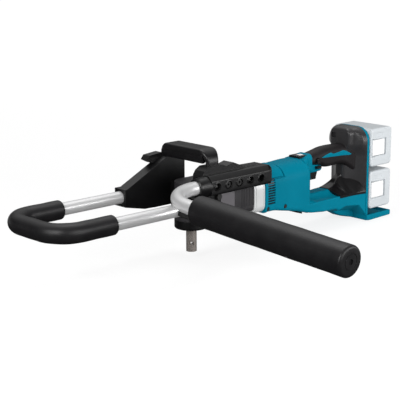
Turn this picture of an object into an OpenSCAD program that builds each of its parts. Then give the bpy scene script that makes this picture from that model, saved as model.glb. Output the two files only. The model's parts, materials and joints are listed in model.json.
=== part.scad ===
// Cordless earth auger drive unit: spindle head, motor body, twin packs, front U bar and side reaction bar.
// The origin is the free tip of the output spindle, +Z is up and +X runs along the body towards the packs.

/* [Output spindle] */
// Diameter of the output spindle
spindle_d = 22; // [18:0.5:22]
// Length of spindle that stands out below the head
spindle_out = 50; // [48:1:52]
// Diameter of the cross hole for the auger pin
pin_hole_d = 8.5; // [6:0.5:10]
// Height of the cross hole above the spindle tip
pin_hole_z = 17; // [12:1:24]
// Turn of the cross hole about the spindle, in degrees
pin_hole_turn = 58; // [0:1:90]

/* [Head and gear train] */
// Height of the motor axis above the spindle tip
axis_z = 107; // [105:1:112]
// Radius of the upright head
head_r = 34; // [33:0.5:36]
// Height of the bearing flange at the bottom of the head
flange_h = 19; // [19:1:22]
// Module of the bevel gears
bevel_module = 2.25; // [2.1:0.05:2.3]
// Teeth on the bevel pinion
pinion_teeth = 12; // [12:2:12]
// Teeth on the bevel gear
gear_teeth = 24; // [24:2:24]
// Length of the bevel teeth
bevel_face = 9; // [7:0.5:10]
// Module of the planetary gears
train_module = 1.25; // [1.15:0.05:1.25]
// Teeth on the sun gear
sun_teeth = 12; // [12:6:12]
// Teeth on each planet gear
planet_teeth = 18; // [18:6:18]
// Length of the planetary teeth
train_face = 12; // [9:0.5:13]
// Diameter of the planet pins
planet_pin_d = 5; // [4:0.5:6]
// Diameter of the carrier shaft that drives the bevel pinion
carrier_shaft_d = 12; // [10:0.5:12.5]

/* [Gear case] */
// Width of the gear case
case_w = 84; // [82:1:88]
// Height of the gear case
case_h = 82; // [80:1:84]
// Distance from the spindle to the back of the gear case
case_rear = 141; // [138:1:146]
// Bore of the gear case for the ring gear
case_bore = 72; // [71:0.5:74]
// Length of the bright ring behind the gear case
ring_len = 32; // [28:1:36]

/* [Motor] */
// Outside diameter of the stator
stator_d = 68; // [62:1:70]
// Outside diameter of the rotor core
rotor_d = 41; // [36:1:44]
// Length of the stator core
stator_len = 46; // [40:1:50]
// Diameter of the motor shaft
shaft_d = 8; // [7:0.5:9]
// Diameter of the cooling fan
fan_d = 62; // [56:1:64]

/* [Motor housing] */
// Width of the motor housing
body_w = 90; // [88:1:96]
// Height of the motor housing's crown above the motor axis
body_rise = 39.5; // [39:0.5:42]
// Depth of the motor housing below the motor axis
body_drop = 50; // [48:1:52]
// Wall of the housing halves
body_wall = 3.5; // [2.5:0.25:4]
// Distance from the spindle to the back wall of the motor housing
body_rear = 322; // [318:1:326]
// Length of the handle's neck behind the motor housing
neck_l = 23; // [20:1:28]
// Width of the lower arm
arm_w = 88; // [84:1:88]
// Height of the top of the lower arm
arm_top = 67; // [62:1:72]
// Vent slots in each column
vent_count = 10; // [6:1:10]
// Pitch of the vent slots
vent_pitch = 5.5; // [5:0.1:5.6]

/* [Rear handle] */
// Width of the handle over its soft cover
grip_w = 40; // [38:1:44]
// Thickness of the soft cover
grip_skin = 2.5; // [2:0.25:3]
// Travel of the trigger
trigger_travel = 7; // [4:0.5:8]
// Width of the trigger
trigger_w = 18; // [14:1:20]

/* [Battery end] */
// Width of the rear cover
tower_w = 106; // [100:1:112]
// Width of the rear cover's front face above the waist
tower_face = 58; // [50:1:64]
// Width of the rear cover's front face below the grip
waist_w = 28; // [24:1:34]
// Height of the top of the rear cover
tower_top = 203; // [201:1:206]
// Depth of the rear cover
tower_depth = 36; // [32:1:40]
// Distance from the spindle to the front of the battery plate
plate_x = 500; // [498:1:506]
// Thickness of the battery plate
plate_t = 7; // [5:0.5:9]
// Length of a battery pack
pack_l = 114; // [110:1:116]
// Height of a battery pack
pack_h = 88; // [84:1:90]
// Depth of a battery pack
pack_d = 75.5; // [70:0.5:78]
// Gap between the two packs
pack_gap = 11; // [7:0.5:12]
// Travel of a pack latch
latch_travel = 5; // [3:0.5:6]
// Lowest height of the battery guard
guard_low = -16; // [-20:1:-14]
// Depth of the battery guard behind the plate
guard_d = 81; // [78:1:86]

/* [Front U bar] */
// Diameter of the U bar tube
u_d = 25.5; // [23:0.5:26]
// Wall of the bar tubes
tube_wall = 2; // [1.5:0.25:3]
// Spacing of the two arms of the U bar
u_w = 164; // [160:1:170]
// Height of the U bar
u_z = 119; // [117:0.5:119]
// Reach of the U bar in front of the spindle
u_reach = 395; // [380:1:420]
// Bend radius of the U bar
u_bend = 52; // [45:1:60]
// Reach of the foam's two ends in front of the spindle
u_foam_start = 271; // [255:1:285]
// Diameter of the U bar foam
u_foam_d = 39; // [34:0.5:40]

/* [Reaction bar] */
// Diameter of the reaction bar tube
bar_d = 28; // [26:0.5:28]
// Distance of the reaction bar from the middle plane
bar_side = 62; // [62:0.5:64]
// Height of the reaction bar in its clamp
bar_z = 149; // [149:0.5:152]
// Reach of the bar's side leg in front of the spindle
bar_reach = 146.5; // [144:0.5:150]
// Bend radius of the reaction bar
bar_bend = 98; // [92:1:99]
// Droop of the side leg, in degrees
bar_droop = 3.5; // [3:0.1:4]
// Start of the foam grip along the side leg
grip_start = 118; // [112:1:124]
// Length of the foam grip
grip_len = 367; // [340:1:375]
// Diameter of the foam grip
grip_d = 57.5; // [52:0.5:58]
// Holes in the bar clamp
clamp_holes = 5; // [4:1:5]
// Pitch of the clamp holes
clamp_pitch = 31; // [29:0.5:32]
// Diameter of the clamp holes
clamp_hole_d = 15; // [13:0.5:16]
// Height of the bar clamp
clamp_h = 34; // [33:0.5:34]

/* [Carry handle] */
// Height of the top of the carry handle
carry_top = 219; // [215:1:225]
// Thickness of the carry handle's top
carry_t = 14; // [12:0.5:15]
// Width of the carry handle
carry_w = 43; // [40:1:46]

/* [Hidden] */
$fn = 64;

// Clearances
run_gap = 0.05;
slide_gap = 0.3;
seat_gap = 0.05;
cut = 1;

// Colours
teal = [0.02, 0.48, 0.56];
black = [0.07, 0.07, 0.075];
foam = [0.11, 0.11, 0.115];
dark_grey = [0.2, 0.2, 0.21];
steel = [0.72, 0.71, 0.69];
alloy = [0.8, 0.8, 0.81];
pale = [0.86, 0.87, 0.88];
copper = [0.72, 0.42, 0.2];

// Head, from the bottom up
head_z = spindle_out;
flange_r = head_r + 1;
flange_top = head_z + flange_h;
seal_z = head_z + 1;
seal_h = 5;
seal_d = 34;
low_bearing_h = 12;
low_bearing_d = 42;
low_bearing_z = seal_z + seal_h + 1;
head_wall = 4;
case_top = axis_z + case_h / 2;
case_bottom = axis_z - case_h / 2;
top_bearing_h = 10;
top_bearing_d = 28;
top_bearing_bore = 12;
top_bearing_z = case_top - 5 - top_bearing_h;

// Bevel pair, with both pitch cones meeting where the axes cross
gear_r = bevel_module * gear_teeth / 2;
pinion_r = bevel_module * pinion_teeth / 2;
cone_len = norm([gear_r, pinion_r]);
inner_scale = (cone_len - bevel_face) / cone_len;
bevel_back = 11;
gear_bottom = axis_z - pinion_r - bevel_back;
pinion_rear = gear_r + bevel_back;
spindle_neck_d = 16;
gear_seat_d = 20;
journal_d = spindle_d + 2;
shoulder_d = journal_d + 4;

// Planetary train along the motor axis
ring_teeth = sun_teeth + 2 * planet_teeth;
planet_orbit = train_module * (sun_teeth + planet_teeth) / 2;
planet_count = 3;
carrier_bearing_x = pinion_rear + 3;
carrier_bearing_h = 12;
carrier_bearing_d = 32;
carrier_disc_t = 6;
carrier_x = carrier_bearing_x + carrier_bearing_h + 26;
train_x = carrier_x + carrier_disc_t + 0.4;
train_end = train_x + train_face;
plate_front = train_end + 5;
motor_bearing_d = 22;
motor_bearing_h = 7;
bearing_plate_t = 10;
bore_front = carrier_bearing_x + carrier_bearing_h + 6;

// Motor
body_front = case_rear + ring_len;
fan_x = case_rear + 7;
fan_t = 14;
stator_x = body_front + 14;
rear_bearing_x = stator_x + stator_len + 20;
shaft_end = rear_bearing_x + motor_bearing_h + 3;
winding_t = 8;

// Motor housing lines, seen from the side
body_low = axis_z - body_drop;
body_top = axis_z + body_rise;
body_h = body_rise + body_drop;
crown_r = 36;
keel_r = 14;
neck_rear = body_rear + neck_l;
belly_x = body_rear + 10;
belly_z = body_low - 29;
arm_low = body_low - 31.5;
arm_ridge = arm_top - 14;
arm_crest = 15;
bulkhead_x = rear_bearing_x - 2;
bulkhead_t = motor_bearing_h + 4;
switch_wall_x = body_rear - 30;
switch_wall_t = 4;
rib_t = 6;
ribs = [stator_x + 2, stator_x + stator_len - rib_t - 2];
screw_d = 4;
screw_head_d = 8;
boss_d = 12;
screw_sites = [[body_front + 9, body_low + 8, body_w / 2],
    [stator_x + stator_len + 3, body_low + 5, body_w / 2],
    [neck_rear + 20, arm_low + 16, arm_w / 2],
    [plate_x - 66, arm_low + 16, arm_w / 2]];
vent_x = [body_front + 9.5, body_front + 21.5];
vent_z = axis_z - 33;
vent_slot = [9.5, 2.8];

// Handle bar lines, seen from the side
bar_top = axis_z + 58.5;
bar_low = axis_z + 10;
bar_front = neck_rear + 5;
tower_x = plate_x - tower_depth;
core_w = grip_w - 2 * grip_skin;
trigger_z = axis_z - 2;
trigger_h = 18;
trigger_out = 36;
lock_x = neck_rear + 22;
lock_z = axis_z + 33;
lock_d = 11;
lock_travel = 4;
lever_x = neck_rear + 22;
lever_z = axis_z + 19;
lever_size = [14, 6];
lever_travel = 4;
panel_x = body_rear - 12;
panel_l = 38;
check_x = panel_x + 6;
lens_x = panel_x + 12;
panel_w = 30;
panel_t = 5;
panel_z = body_top + 5.5;
strip_w = 64;
check_d = 7;
check_travel = 1.2;

// Battery end
plate_back = plate_x + plate_t;
pack_x = plate_back + 2.5;
pack_low = 11;
pack_z = [pack_low + pack_h / 2, pack_low + pack_h * 1.5 + pack_gap];
rail_w = 44;
rail_t = 12;
rail_l = 86;
tower_low = arm_ridge + 1;
boot_x = tower_x - 36;
boot_t = 4;
tower_r = 32;
tower_nose = 14;
waist_z = axis_z + 9;
tower_wall = 3.5;
latch_size = [40, 36];
latch_t = 3;
guard_top = -2;
guard_t = 9;
guard_w = 114;

// Brackets and bars
u_y = u_w / 2;
socket_mouth = -121;
socket_end = -45;
socket_w = u_d + 10;
socket_low = u_z - u_d / 2 - 6;
scoop = 26;
web_rear = 22;
near_web = -u_y + socket_w / 2 - 1;
screw_m = 8;
screw_reach = 5;
web_bolt_x = 13;
web_bolt_z = [axis_z - 4, axis_z + 17];
saddle_bolts = [[12, axis_z - 12], [32, axis_z + 16]];
bracket_top = bar_z - clamp_h / 2;
bar_y = -bar_side;
clamp_face = bar_y - bar_d / 2 - 7;
clamp_mouth = -44;
clamp_front = -20;
clamp_rear = 150;
hole_first = -4;
bar_inner = hole_first + clamp_pitch * 3 + 8;
case_side = case_w / 2;
roof_in = -34;
saddle_x = [2, 41];
saddle_z = [axis_z - 27, axis_z + 29];
far_in = u_y - 18;
far_out = u_y + 16;
gusset_out = u_y + 8;
post_out = u_y - 2;
carry_low = carry_top - carry_t;
carry_x = -10;
lip_h = 14;
lip_t = 7;
leg_x = [-6, 25];
leg_gap = 5;
leg_y = [bar_y + 4, bar_y + 18];
roof_z = case_top + 38;
bolt_d = 8;

function unit(v) = v / norm(v);

// Points of the fillet of radius r at corner q, between the points before and after it.
function fillet(before, q, after, r, steps) =
    let (a = unit(before - q), b = unit(after - q),
        half = acos(a * b) / 2,
        centre = q + unit(a + b) * r / sin(half),
        from = q + a * r / tan(half) - centre,
        to = q + b * r / tan(half) - centre,
        start = atan2(from[1], from[0]),
        sweep = (atan2(to[1], to[0]) - start + 540) % 360 - 180)
    [for (i = [0 : steps]) centre + r * [cos(start + sweep * i / steps), sin(start + sweep * i / steps)]];

// Outline through corners given as [x, y, radius].
function rounded(corners, steps = 5) =
    let (count = len(corners), flat = [for (c = corners) [c[0], c[1]]])
    [for (i = [0 : count - 1])
        each corners[i][2] == 0 ? [flat[i]]
            : fillet(flat[(i + count - 1) % count], flat[i], flat[(i + 1) % count], corners[i][2], steps)];

// Rectangle with round corners about a centre.
function round_rect(w, h, r, centre = [0, 0]) =
    rounded([for (s = [[-1, -1], [1, -1], [1, 1], [-1, 1]])
        [centre[0] + s[0] * w / 2, centre[1] + s[1] * h / 2, r]]);

// An outline in X and Z, extruded along Y.
module slab_y(y0, y1) {
    translate([0, y1, 0]) rotate([90, 0, 0]) linear_extrude(y1 - y0) children();
}

// An outline in Y and Z, extruded along X.
module slab_x(x0, x1) {
    translate([x0, 0, 0]) rotate([90, 0, 90]) linear_extrude(x1 - x0) children();
}

module rod_x(d, x0, x1, y = 0, z = axis_z) {
    translate([x0, y, z]) rotate([0, 90, 0]) cylinder(d = d, h = x1 - x0);
}

module rod_y(d, y0, y1, x, z) {
    translate([x, y1, z]) rotate([90, 0, 0]) cylinder(d = d, h = y1 - y0);
}

module ring_x(outer, bore, x0, x1) {
    difference() {
        rod_x(outer, x0, x1);
        rod_x(bore, x0 - cut, x1 + cut);
    }
}

// Involute tooth outline of a spur gear. thin narrows each tooth for backlash.
pressure = 20;
function involute(a) = tan(a) * 180 / PI - a;
function tooth_half(teeth, r, pitch_r, thin) =
    let (base_r = pitch_r * cos(pressure), a = r > base_r ? acos(base_r / r) : 0)
    90 / teeth * thin + involute(pressure) - involute(a);
function gear_outline(teeth, m, tip, root, thin, turn = 0) =
    let (pitch_r = m * teeth / 2,
        radii = [pitch_r - root * m, pitch_r - root * m / 2, pitch_r, pitch_r + tip * m])
    [for (i = [0 : teeth - 1], k = [0 : 7])
        let (r = radii[k < 4 ? k : 7 - k], side = k < 4 ? -1 : 1,
            a = turn + i * 360 / teeth + side * tooth_half(teeth, r, pitch_r, thin))
        r * [cos(a), sin(a)]];

// Straight bevel gear with its apex at the origin and its body below. Every ring of points has four a tooth.
module bevel(teeth, pitch_r, depth, hub_r, bore_r, turn) {
    slope = atan2(pitch_r, depth);
    normal = [cos(slope), sin(slope)];
    tip = [pitch_r, -depth] + normal * bevel_module * 0.9;
    root = [pitch_r, -depth] - normal * bevel_module * 1.2;
    half_tip = 0.15;
    half_root = 0.3;
    steps = [[-half_root, root], [-half_tip, tip], [half_tip, tip], [half_root, root]];
    count = teeth * len(steps);
    turns = [for (i = [0 : teeth - 1], s = steps) turn + (i + s[0]) * 360 / teeth];
    profile = [for (i = [0 : teeth - 1], s = steps) s[1]];
    back = -depth - bevel_back;
    top = root[1] * inner_scale - 0.5;
    rings = [
        [for (p = profile) p],
        [for (p = profile) [hub_r, back]],
        [for (p = profile) [bore_r, back]],
        [for (p = profile) [bore_r, top]],
        [for (p = profile) [root[0] * inner_scale - 1, top]],
        [for (p = profile) p * inner_scale]];
    loops = len(rings);
    points = [for (ring = rings, k = [0 : count - 1])
        [ring[k][0] * cos(turns[k]), ring[k][0] * sin(turns[k]), ring[k][1]]];
    faces = [for (j = [0 : loops - 1], k = [0 : count - 1])
        let (a = j * count, b = ((j + 1) % loops) * count, n = (k + 1) % count)
        each [[a + k, b + k, a + n], [a + n, b + k, b + n]]];
    polyhedron(points, faces);
}

// Spindle and head

module spindle() {
    journal_top = low_bearing_z + low_bearing_h;
    top_journal_r = top_bearing_bore / 2 - run_gap;
    top = top_bearing_z + top_bearing_h;
    color(steel) difference() {
        rotate_extrude() polygon([[0, 0], [spindle_d / 2, 0], [spindle_d / 2, head_z],
            [journal_d / 2, head_z], [journal_d / 2, journal_top],
            [shoulder_d / 2, journal_top], [shoulder_d / 2, gear_bottom],
            [gear_seat_d / 2, gear_bottom], [gear_seat_d / 2, axis_z - pinion_r],
            [spindle_neck_d / 2, axis_z - pinion_r], [spindle_neck_d / 2, top_bearing_z],
            [top_journal_r, top_bearing_z], [top_journal_r, top], [0, top]]);
        translate([0, 0, pin_hole_z]) rotate([0, 0, pin_hole_turn]) rotate([0, 90, 0])
            cylinder(d = pin_hole_d, h = spindle_d * 2, center = true);
    }
}

module bevel_gear() {
    color(steel) translate([0, 0, axis_z])
        bevel(gear_teeth, gear_r, pinion_r, gear_r - 4, gear_seat_d / 2 + 0.1, 0);
}

module oil_seal() {
    color(black) translate([0, 0, seal_z]) difference() {
        cylinder(d = seal_d, h = seal_h);
        translate([0, 0, -cut]) cylinder(d = journal_d + 2 * run_gap, h = seal_h + 2 * cut);
    }
}

module spindle_bearing_lower() {
    color(steel) translate([0, 0, low_bearing_z]) difference() {
        cylinder(d = low_bearing_d, h = low_bearing_h);
        translate([0, 0, -cut]) cylinder(d = journal_d + 2 * run_gap, h = low_bearing_h + 2 * cut);
    }
}

module spindle_bearing_upper() {
    color(steel) translate([0, 0, top_bearing_z]) difference() {
        cylinder(d = top_bearing_d, h = top_bearing_h);
        translate([0, 0, -cut]) cylinder(d = top_bearing_bore, h = top_bearing_h + 2 * cut);
    }
}

module head_flange() {
    round = 4;
    color(black) difference() {
        rotate_extrude() polygon(concat([[0, head_z]],
            [for (i = [0 : 6])
                [flange_r - round + round * sin(15 * i), head_z + round - round * cos(15 * i)]],
            [[flange_r, flange_top], [0, flange_top]]));
        translate([0, 0, head_z - cut]) cylinder(d = journal_d + 2, h = flange_h + 2 * cut);
        translate([0, 0, seal_z]) cylinder(d = seal_d + 2 * seat_gap, h = flange_h);
        translate([0, 0, low_bearing_z]) cylinder(d = low_bearing_d + 2 * seat_gap, h = flange_h);
    }
}

plug_turn = 241;
plug_d = 9;
plug_z = axis_z - 33;
module plug_axis() {
    rotate([0, 0, plug_turn]) translate([head_r - head_wall, 0, plug_z]) rotate([0, 90, 0]) children();
}

module grease_plug() {
    color(steel) plug_axis() difference() {
        cylinder(d = plug_d, h = head_wall + 1.4);
        translate([0, 0, head_wall]) cylinder(d = 4, h = 2 * cut + 1, $fn = 6);
    }
}

module gear_case() {
    case_corner = 10;
    color(dark_grey) difference() {
        union() {
            slab_x(0, case_rear) polygon(round_rect(case_w, case_h, case_corner, [0, axis_z]));
            translate([0, 0, flange_top]) cylinder(r = head_r, h = case_top - flange_top);
        }
        translate([0, 0, case_bottom - cut])
            cylinder(r = head_r - head_wall, h = top_bearing_z - case_bottom - 2 + cut);
        translate([0, 0, flange_top - cut])
            cylinder(r = head_r - head_wall, h = case_bottom - flange_top + 3);
        translate([0, 0, axis_z]) cylinder(d = top_bearing_d - 4, h = case_h / 2 - 3);
        translate([0, 0, top_bearing_z])
            cylinder(d = top_bearing_d + 2 * seat_gap, h = top_bearing_h + seat_gap);
        rod_x(carrier_bearing_d + 2 * seat_gap, head_r - 3 * head_wall, bore_front + cut);
        rod_x(case_bore, bore_front, case_rear + cut);
        plug_axis() translate([0, 0, -cut]) cylinder(d = plug_d + 2 * seat_gap, h = head_wall + 3);
        translate([0, 0, case_bottom - cut])
            cylinder(r = flange_r + seat_gap, h = flange_top - case_bottom + cut);
        bracket_screws(2 * seat_gap, screw_reach);
    }
}

// Planetary train

module bevel_pinion() {
    color(steel) translate([0, 0, axis_z]) rotate([0, -90, 0])
        bevel(pinion_teeth, pinion_r, gear_r, pinion_r - 3, carrier_shaft_d / 2 + 0.1, 180 / pinion_teeth);
}

module planet_carrier() {
    pin_end = train_end + 1.5;
    color(steel) {
        rod_x(carrier_shaft_d - 2 * run_gap, gear_r * inner_scale + 1, carrier_x + cut);
        rod_x(2 * planet_orbit + planet_pin_d + 5, carrier_x, carrier_x + carrier_disc_t);
        for (i = [0 : planet_count - 1]) let (a = 90 + i * 360 / planet_count)
            rod_x(planet_pin_d - 2 * run_gap, carrier_x + cut, pin_end,
                planet_orbit * cos(a), axis_z + planet_orbit * sin(a));
        rod_x(carrier_bearing_d - 10, carrier_bearing_x + carrier_bearing_h, carrier_x + cut);
    }
}

module carrier_bearing() {
    color(steel) ring_x(carrier_bearing_d, carrier_shaft_d, carrier_bearing_x,
        carrier_bearing_x + carrier_bearing_h);
}

module train_slab() {
    slab_x(train_x, train_end) translate([0, axis_z]) children();
}

backlash = 0.9;

module planet_gear(i) {
    a = 90 + i * 360 / planet_count;
    color(steel) train_slab() translate(planet_orbit * [cos(a), sin(a)]) difference() {
        polygon(gear_outline(planet_teeth, train_module, 0.9, 1.2, backlash, a + 180 / planet_teeth));
        circle(d = planet_pin_d);
    }
}
module planet_gear_1() { planet_gear(0); }
module planet_gear_2() { planet_gear(1); }
module planet_gear_3() { planet_gear(2); }

module ring_gear() {
    color(steel) train_slab() difference() {
        circle(d = case_bore - 2 * seat_gap);
        polygon(gear_outline(ring_teeth, train_module, 1.2, 0.9, 2 - backlash, 90 + 180 / ring_teeth));
    }
}

module sun_gear() {
    color(steel) train_slab() difference() {
        polygon(gear_outline(sun_teeth, train_module, 0.9, 1.2, backlash, 90));
        circle(d = shaft_d + 0.2);
    }
}

module bearing_plate() {
    color(alloy) difference() {
        rod_x(case_bore - 2 * seat_gap, plate_front, plate_front + bearing_plate_t);
        rod_x(shaft_d + 4, plate_front - cut, plate_front + bearing_plate_t + cut);
        rod_x(motor_bearing_d + 2 * seat_gap, plate_front + bearing_plate_t - motor_bearing_h,
            plate_front + bearing_plate_t + cut);
    }
}

module motor_bearing_front() {
    back = plate_front + bearing_plate_t;
    color(steel) ring_x(motor_bearing_d, shaft_d + 2 * run_gap, back - motor_bearing_h, back);
}

// Motor

module case_ring() {
    half = body_w / 2 - 1.5;
    color(alloy) difference() {
        slab_x(case_rear, body_front) polygon(rounded([
            [-half, body_low + 1.5, keel_r], [half, body_low + 1.5, keel_r],
            [half, body_top - 3, crown_r], [-half, body_top - 3, crown_r]], 9));
        rod_x(fan_d + 6, case_rear - cut, body_front + cut);
    }
}

module cooling_fan() {
    hub_d = 24;
    blades = 11;
    web = 2.5;
    color(black) difference() {
        union() {
            rod_x(hub_d, fan_x, fan_x + fan_t);
            rod_x(fan_d, fan_x, fan_x + web);
            for (i = [0 : blades - 1]) translate([fan_x + cut, 0, axis_z]) rotate([i * 360 / blades, 0, 0])
                translate([0, -1, hub_d / 2 - cut]) cube([fan_t - 3 * cut, 2, (fan_d - hub_d) / 2 - cut]);
        }
        rod_x(shaft_d + 0.2, fan_x - cut, fan_x + fan_t + cut);
    }
}

module rotor() {
    color(steel) {
        rod_x(shaft_d, train_x, shaft_end);
        rod_x(rotor_d, stator_x, stator_x + stator_len);
    }
}

module stator() {
    bore = rotor_d + 1;
    color(copper) {
        ring_x(stator_d, bore, stator_x, stator_x + stator_len);
        for (x = [stator_x - winding_t, stator_x + stator_len])
            ring_x(stator_d - 8, bore + 4, x, x + winding_t);
    }
}

module motor_bearing_rear() {
    color(steel) ring_x(motor_bearing_d, shaft_d + 2 * run_gap, rear_bearing_x,
        rear_bearing_x + motor_bearing_h);
}

// Motor housing

function barrel_line(inset, front) = [
    [front, body_low + inset], [body_front + 32, body_low + inset], [belly_x - 49, belly_z + 14 + inset],
    [body_rear - inset, belly_z + 2 + inset], [body_rear - inset, body_top + 5 - inset],
    [front, body_top - 2 - inset]];

function arm_line(inset) = [
    [body_rear - 14, belly_z + 2 + inset], [neck_rear + 12, arm_low + 1 + inset],
    [plate_x - 106, arm_low + inset], [plate_x - 82, arm_low - 10 + inset],
    [plate_x - 64, arm_low - 20 + inset], [plate_x - 28, guard_low + 8 + inset],
    [plate_x - inset, guard_low + 4 + inset],
    [plate_x - inset, arm_top - inset], [body_rear - 14, arm_top - inset]];

function handle_line(inset) = [
    [body_rear - 6, bar_low + 12 + inset], [neck_rear + 34, bar_low + 4 + inset],
    [neck_rear + 64, bar_low + inset], [tower_x + 14, bar_low + 2 + inset],
    [tower_x + 14, bar_top - 4 - inset], [neck_rear + 100, bar_top - 1 - inset],
    [neck_rear + 52, bar_top - inset], [neck_rear + 27, bar_top - 6 - inset],
    [body_rear - 6, body_top + 5 - inset]];

// Arm seen from behind: upright sides up to a ridge, then slopes up to a narrow crest.
function arm_section(grow, low) =
    let (half = arm_w / 2 + grow, crest = arm_crest + grow / 2)
    [[-half, low], [half, low], [half, arm_ridge + grow / 2], [crest, arm_top + grow],
        [-crest, arm_top + grow], [-half, arm_ridge + grow / 2]];

module arm_form(inset) {
    intersection() {
        slab_y(-arm_w / 2 + inset, arm_w / 2 - inset) polygon(arm_line(inset));
        slab_x(0, plate_x) polygon(arm_section(-inset, guard_low));
    }
}

neck_w = core_w;
function neck_line(inset) = [
    [body_rear - 10, arm_top - 10 + inset], [neck_rear - inset, arm_top - 10 + inset],
    [neck_rear - inset, bar_low + 12], [bar_front, bar_low + 16],
    [bar_front, body_top + 8 - inset], [body_rear - 10, body_top + 4 - inset]];

module barrel_section(inset) {
    half = body_w / 2 - inset;
    polygon(rounded([[-half, arm_low, 0], [half, arm_low, 0], [half, body_top + 5 - inset, crown_r - inset],
        [-half, body_top + 5 - inset, crown_r - inset]], 9));
}

module barrel(inset, front = body_front) {
    intersection() {
        slab_y(-body_w / 2 + inset, body_w / 2 - inset) polygon(barrel_line(inset, front));
        slab_x(front - cut, body_rear + cut) barrel_section(inset);
    }
}

module housing_bulkheads() {
    for (x = ribs) housing_wall(x, rib_t);
    housing_wall(bulkhead_x, bulkhead_t);
    housing_wall(switch_wall_x, switch_wall_t);
}

module housing_wall(x, t) {
    intersection() {
        barrel(body_wall / 2);
        translate([x, -body_w, 0]) cube([t, 2 * body_w, 2 * body_h]);
    }
}

module housing_vents() {
    for (side = [-1, 1], x = vent_x, i = [0 : vent_count - 1])
        translate([x, side * body_w / 2 - 3 * body_wall, vent_z + i * vent_pitch])
            cube([vent_slot[0], 6 * body_wall, vent_slot[1]]);
}

module housing_whole() {
    difference() {
        union() {
            difference() {
                union() {
                    barrel(0);
                    arm_form(0);
                    slab_y(-neck_w / 2, neck_w / 2) polygon(neck_line(0));
                }
                barrel(body_wall, body_front - cut);
                arm_form(body_wall);
                slab_y(-neck_w / 2 + body_wall, neck_w / 2 - body_wall) polygon(neck_line(body_wall));
                housing_vents();
            }
            housing_bulkheads();
            slab_y(-core_w / 2, core_w / 2) polygon(handle_line(grip_skin));
            for (p = screw_sites) rod_y(boss_d, -p[2] + 1, p[2] - 1, p[0], p[1]);
        }
        rod_x(stator_d + 2 * seat_gap, body_front - cut, bulkhead_x);
        rod_x(motor_bearing_d + 2 * seat_gap, rear_bearing_x, bulkhead_x + bulkhead_t + cut);
        rod_x(shaft_d + 4, bulkhead_x - cut, bulkhead_x + bulkhead_t + cut);
        for (p = screw_sites) {
            rod_y(screw_d + 2 * seat_gap, -body_w, 16, p[0], p[1]);
            rod_y(screw_head_d + 1, -body_w, -p[2] + 2.5, p[0], p[1]);
        }
        slab_x(neck_rear - 2 * body_wall, neck_rear + body_wall) translate([0, trigger_z])
            square([trigger_w + 2 * slide_gap, trigger_h + 2 * slide_gap], center = true);
        rod_y(lock_d + 2 * run_gap, -grip_w, grip_w, lock_x, lock_z);
        lever_slot(slide_gap);
        translate([panel_x - slide_gap, -panel_w / 2 - slide_gap, panel_z])
            cube([panel_l + 2 * slide_gap, panel_w + 2 * slide_gap, 30]);
        strip(slide_gap);
    }
}

module lever_slot(gap) {
    slab_y(-2 * grip_w, 2 * grip_w) translate([lever_x, lever_z])
        square([lever_size[0] + gap, lever_size[1] + gap], center = true);
}

function keel_z(x) = belly_z + 14 - 12 * (x - belly_x + 49) / (body_rear - belly_x + 49);

module strip(gap) {
    x0 = belly_x - 46;
    x1 = body_rear - 18;
    inset = 1.5 + gap;
    slab_y(-strip_w / 2 - gap, strip_w / 2 + gap) polygon([
        [x0 - gap, keel_z(x0) - 4], [x1 + gap, keel_z(x1) - 4],
        [x1 + gap, keel_z(x1) + inset], [x0 - gap, keel_z(x0) + inset]]);
}

module housing_left() {
    color(teal) difference() {
        housing_whole();
        translate([body_front - 10, 0, guard_low - 10]) cube([plate_x, body_w, tower_top * 2]);
    }
}

module housing_right() {
    color(teal) difference() {
        housing_whole();
        translate([body_front - 10, -body_w, guard_low - 10]) cube([plate_x, body_w, tower_top * 2]);
    }
}

module housing_screws() {
    color(dark_grey) for (p = screw_sites) let (seat = -p[2] + 2.5) {
        rod_y(screw_head_d, seat - 2.4, seat, p[0], p[1]);
        rod_y(screw_d, seat - cut, 14, p[0], p[1]);
    }
}

module bottom_strip() {
    color(black) strip(0);
}

module controller() {
    wide = body_w - 2 * body_wall - 2 * slide_gap;
    x0 = bulkhead_x + bulkhead_t;
    color(black) translate([x0, -wide / 2, axis_z - 30]) cube([switch_wall_x - x0 - slide_gap, wide, 24]);
}

module switch_unit() {
    x0 = switch_wall_x + switch_wall_t;
    color(black) translate([x0, -14, trigger_z - 14]) cube([22, 28, 28]);
}

module trigger() {
    stem = neck_rear - 3 * body_wall;
    tip = neck_rear + trigger_out;
    low = trigger_z - trigger_h / 2;
    high = trigger_z + trigger_h / 2;
    color(black) slab_y(-trigger_w / 2, trigger_w / 2) polygon(rounded([[stem, low, 0], [tip - 6, low, 4],
        [tip - 9, trigger_z + 1, 6], [tip, high, 2], [stem, high, 0]]));
}

module lock_off_button() {
    color(black) rod_y(lock_d, -grip_w / 2 - lock_travel - 1, grip_w / 2 - 1, lock_x, lock_z);
}

module direction_lever() {
    reach = grip_w / 2 + lever_travel + 2;
    color(black) slab_y(-reach, reach) translate([lever_x, lever_z])
        square([lever_size[0] - slide_gap, lever_size[1] - slide_gap], center = true);
}

module indicator_panel() {
    color(black) difference() {
        translate([panel_x, -panel_w / 2, panel_z]) cube([panel_l, panel_w, panel_t]);
        translate([check_x, 0, panel_z + panel_t - check_travel - 1])
            cylinder(d = check_d + 2 * run_gap, h = panel_t);
        translate([lens_x, -6, panel_z + panel_t - 1]) cube([16, 12, 2]);
    }
}

module indicator_lens() {
    color("white") translate([lens_x, -6, panel_z + panel_t - 1]) cube([16, 12, 1.3]);
}

module check_button() {
    color(dark_grey) translate([check_x, 0, panel_z + panel_t - 1 + slide_gap])
        cylinder(d = check_d, h = 1 + check_travel);
}

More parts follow.
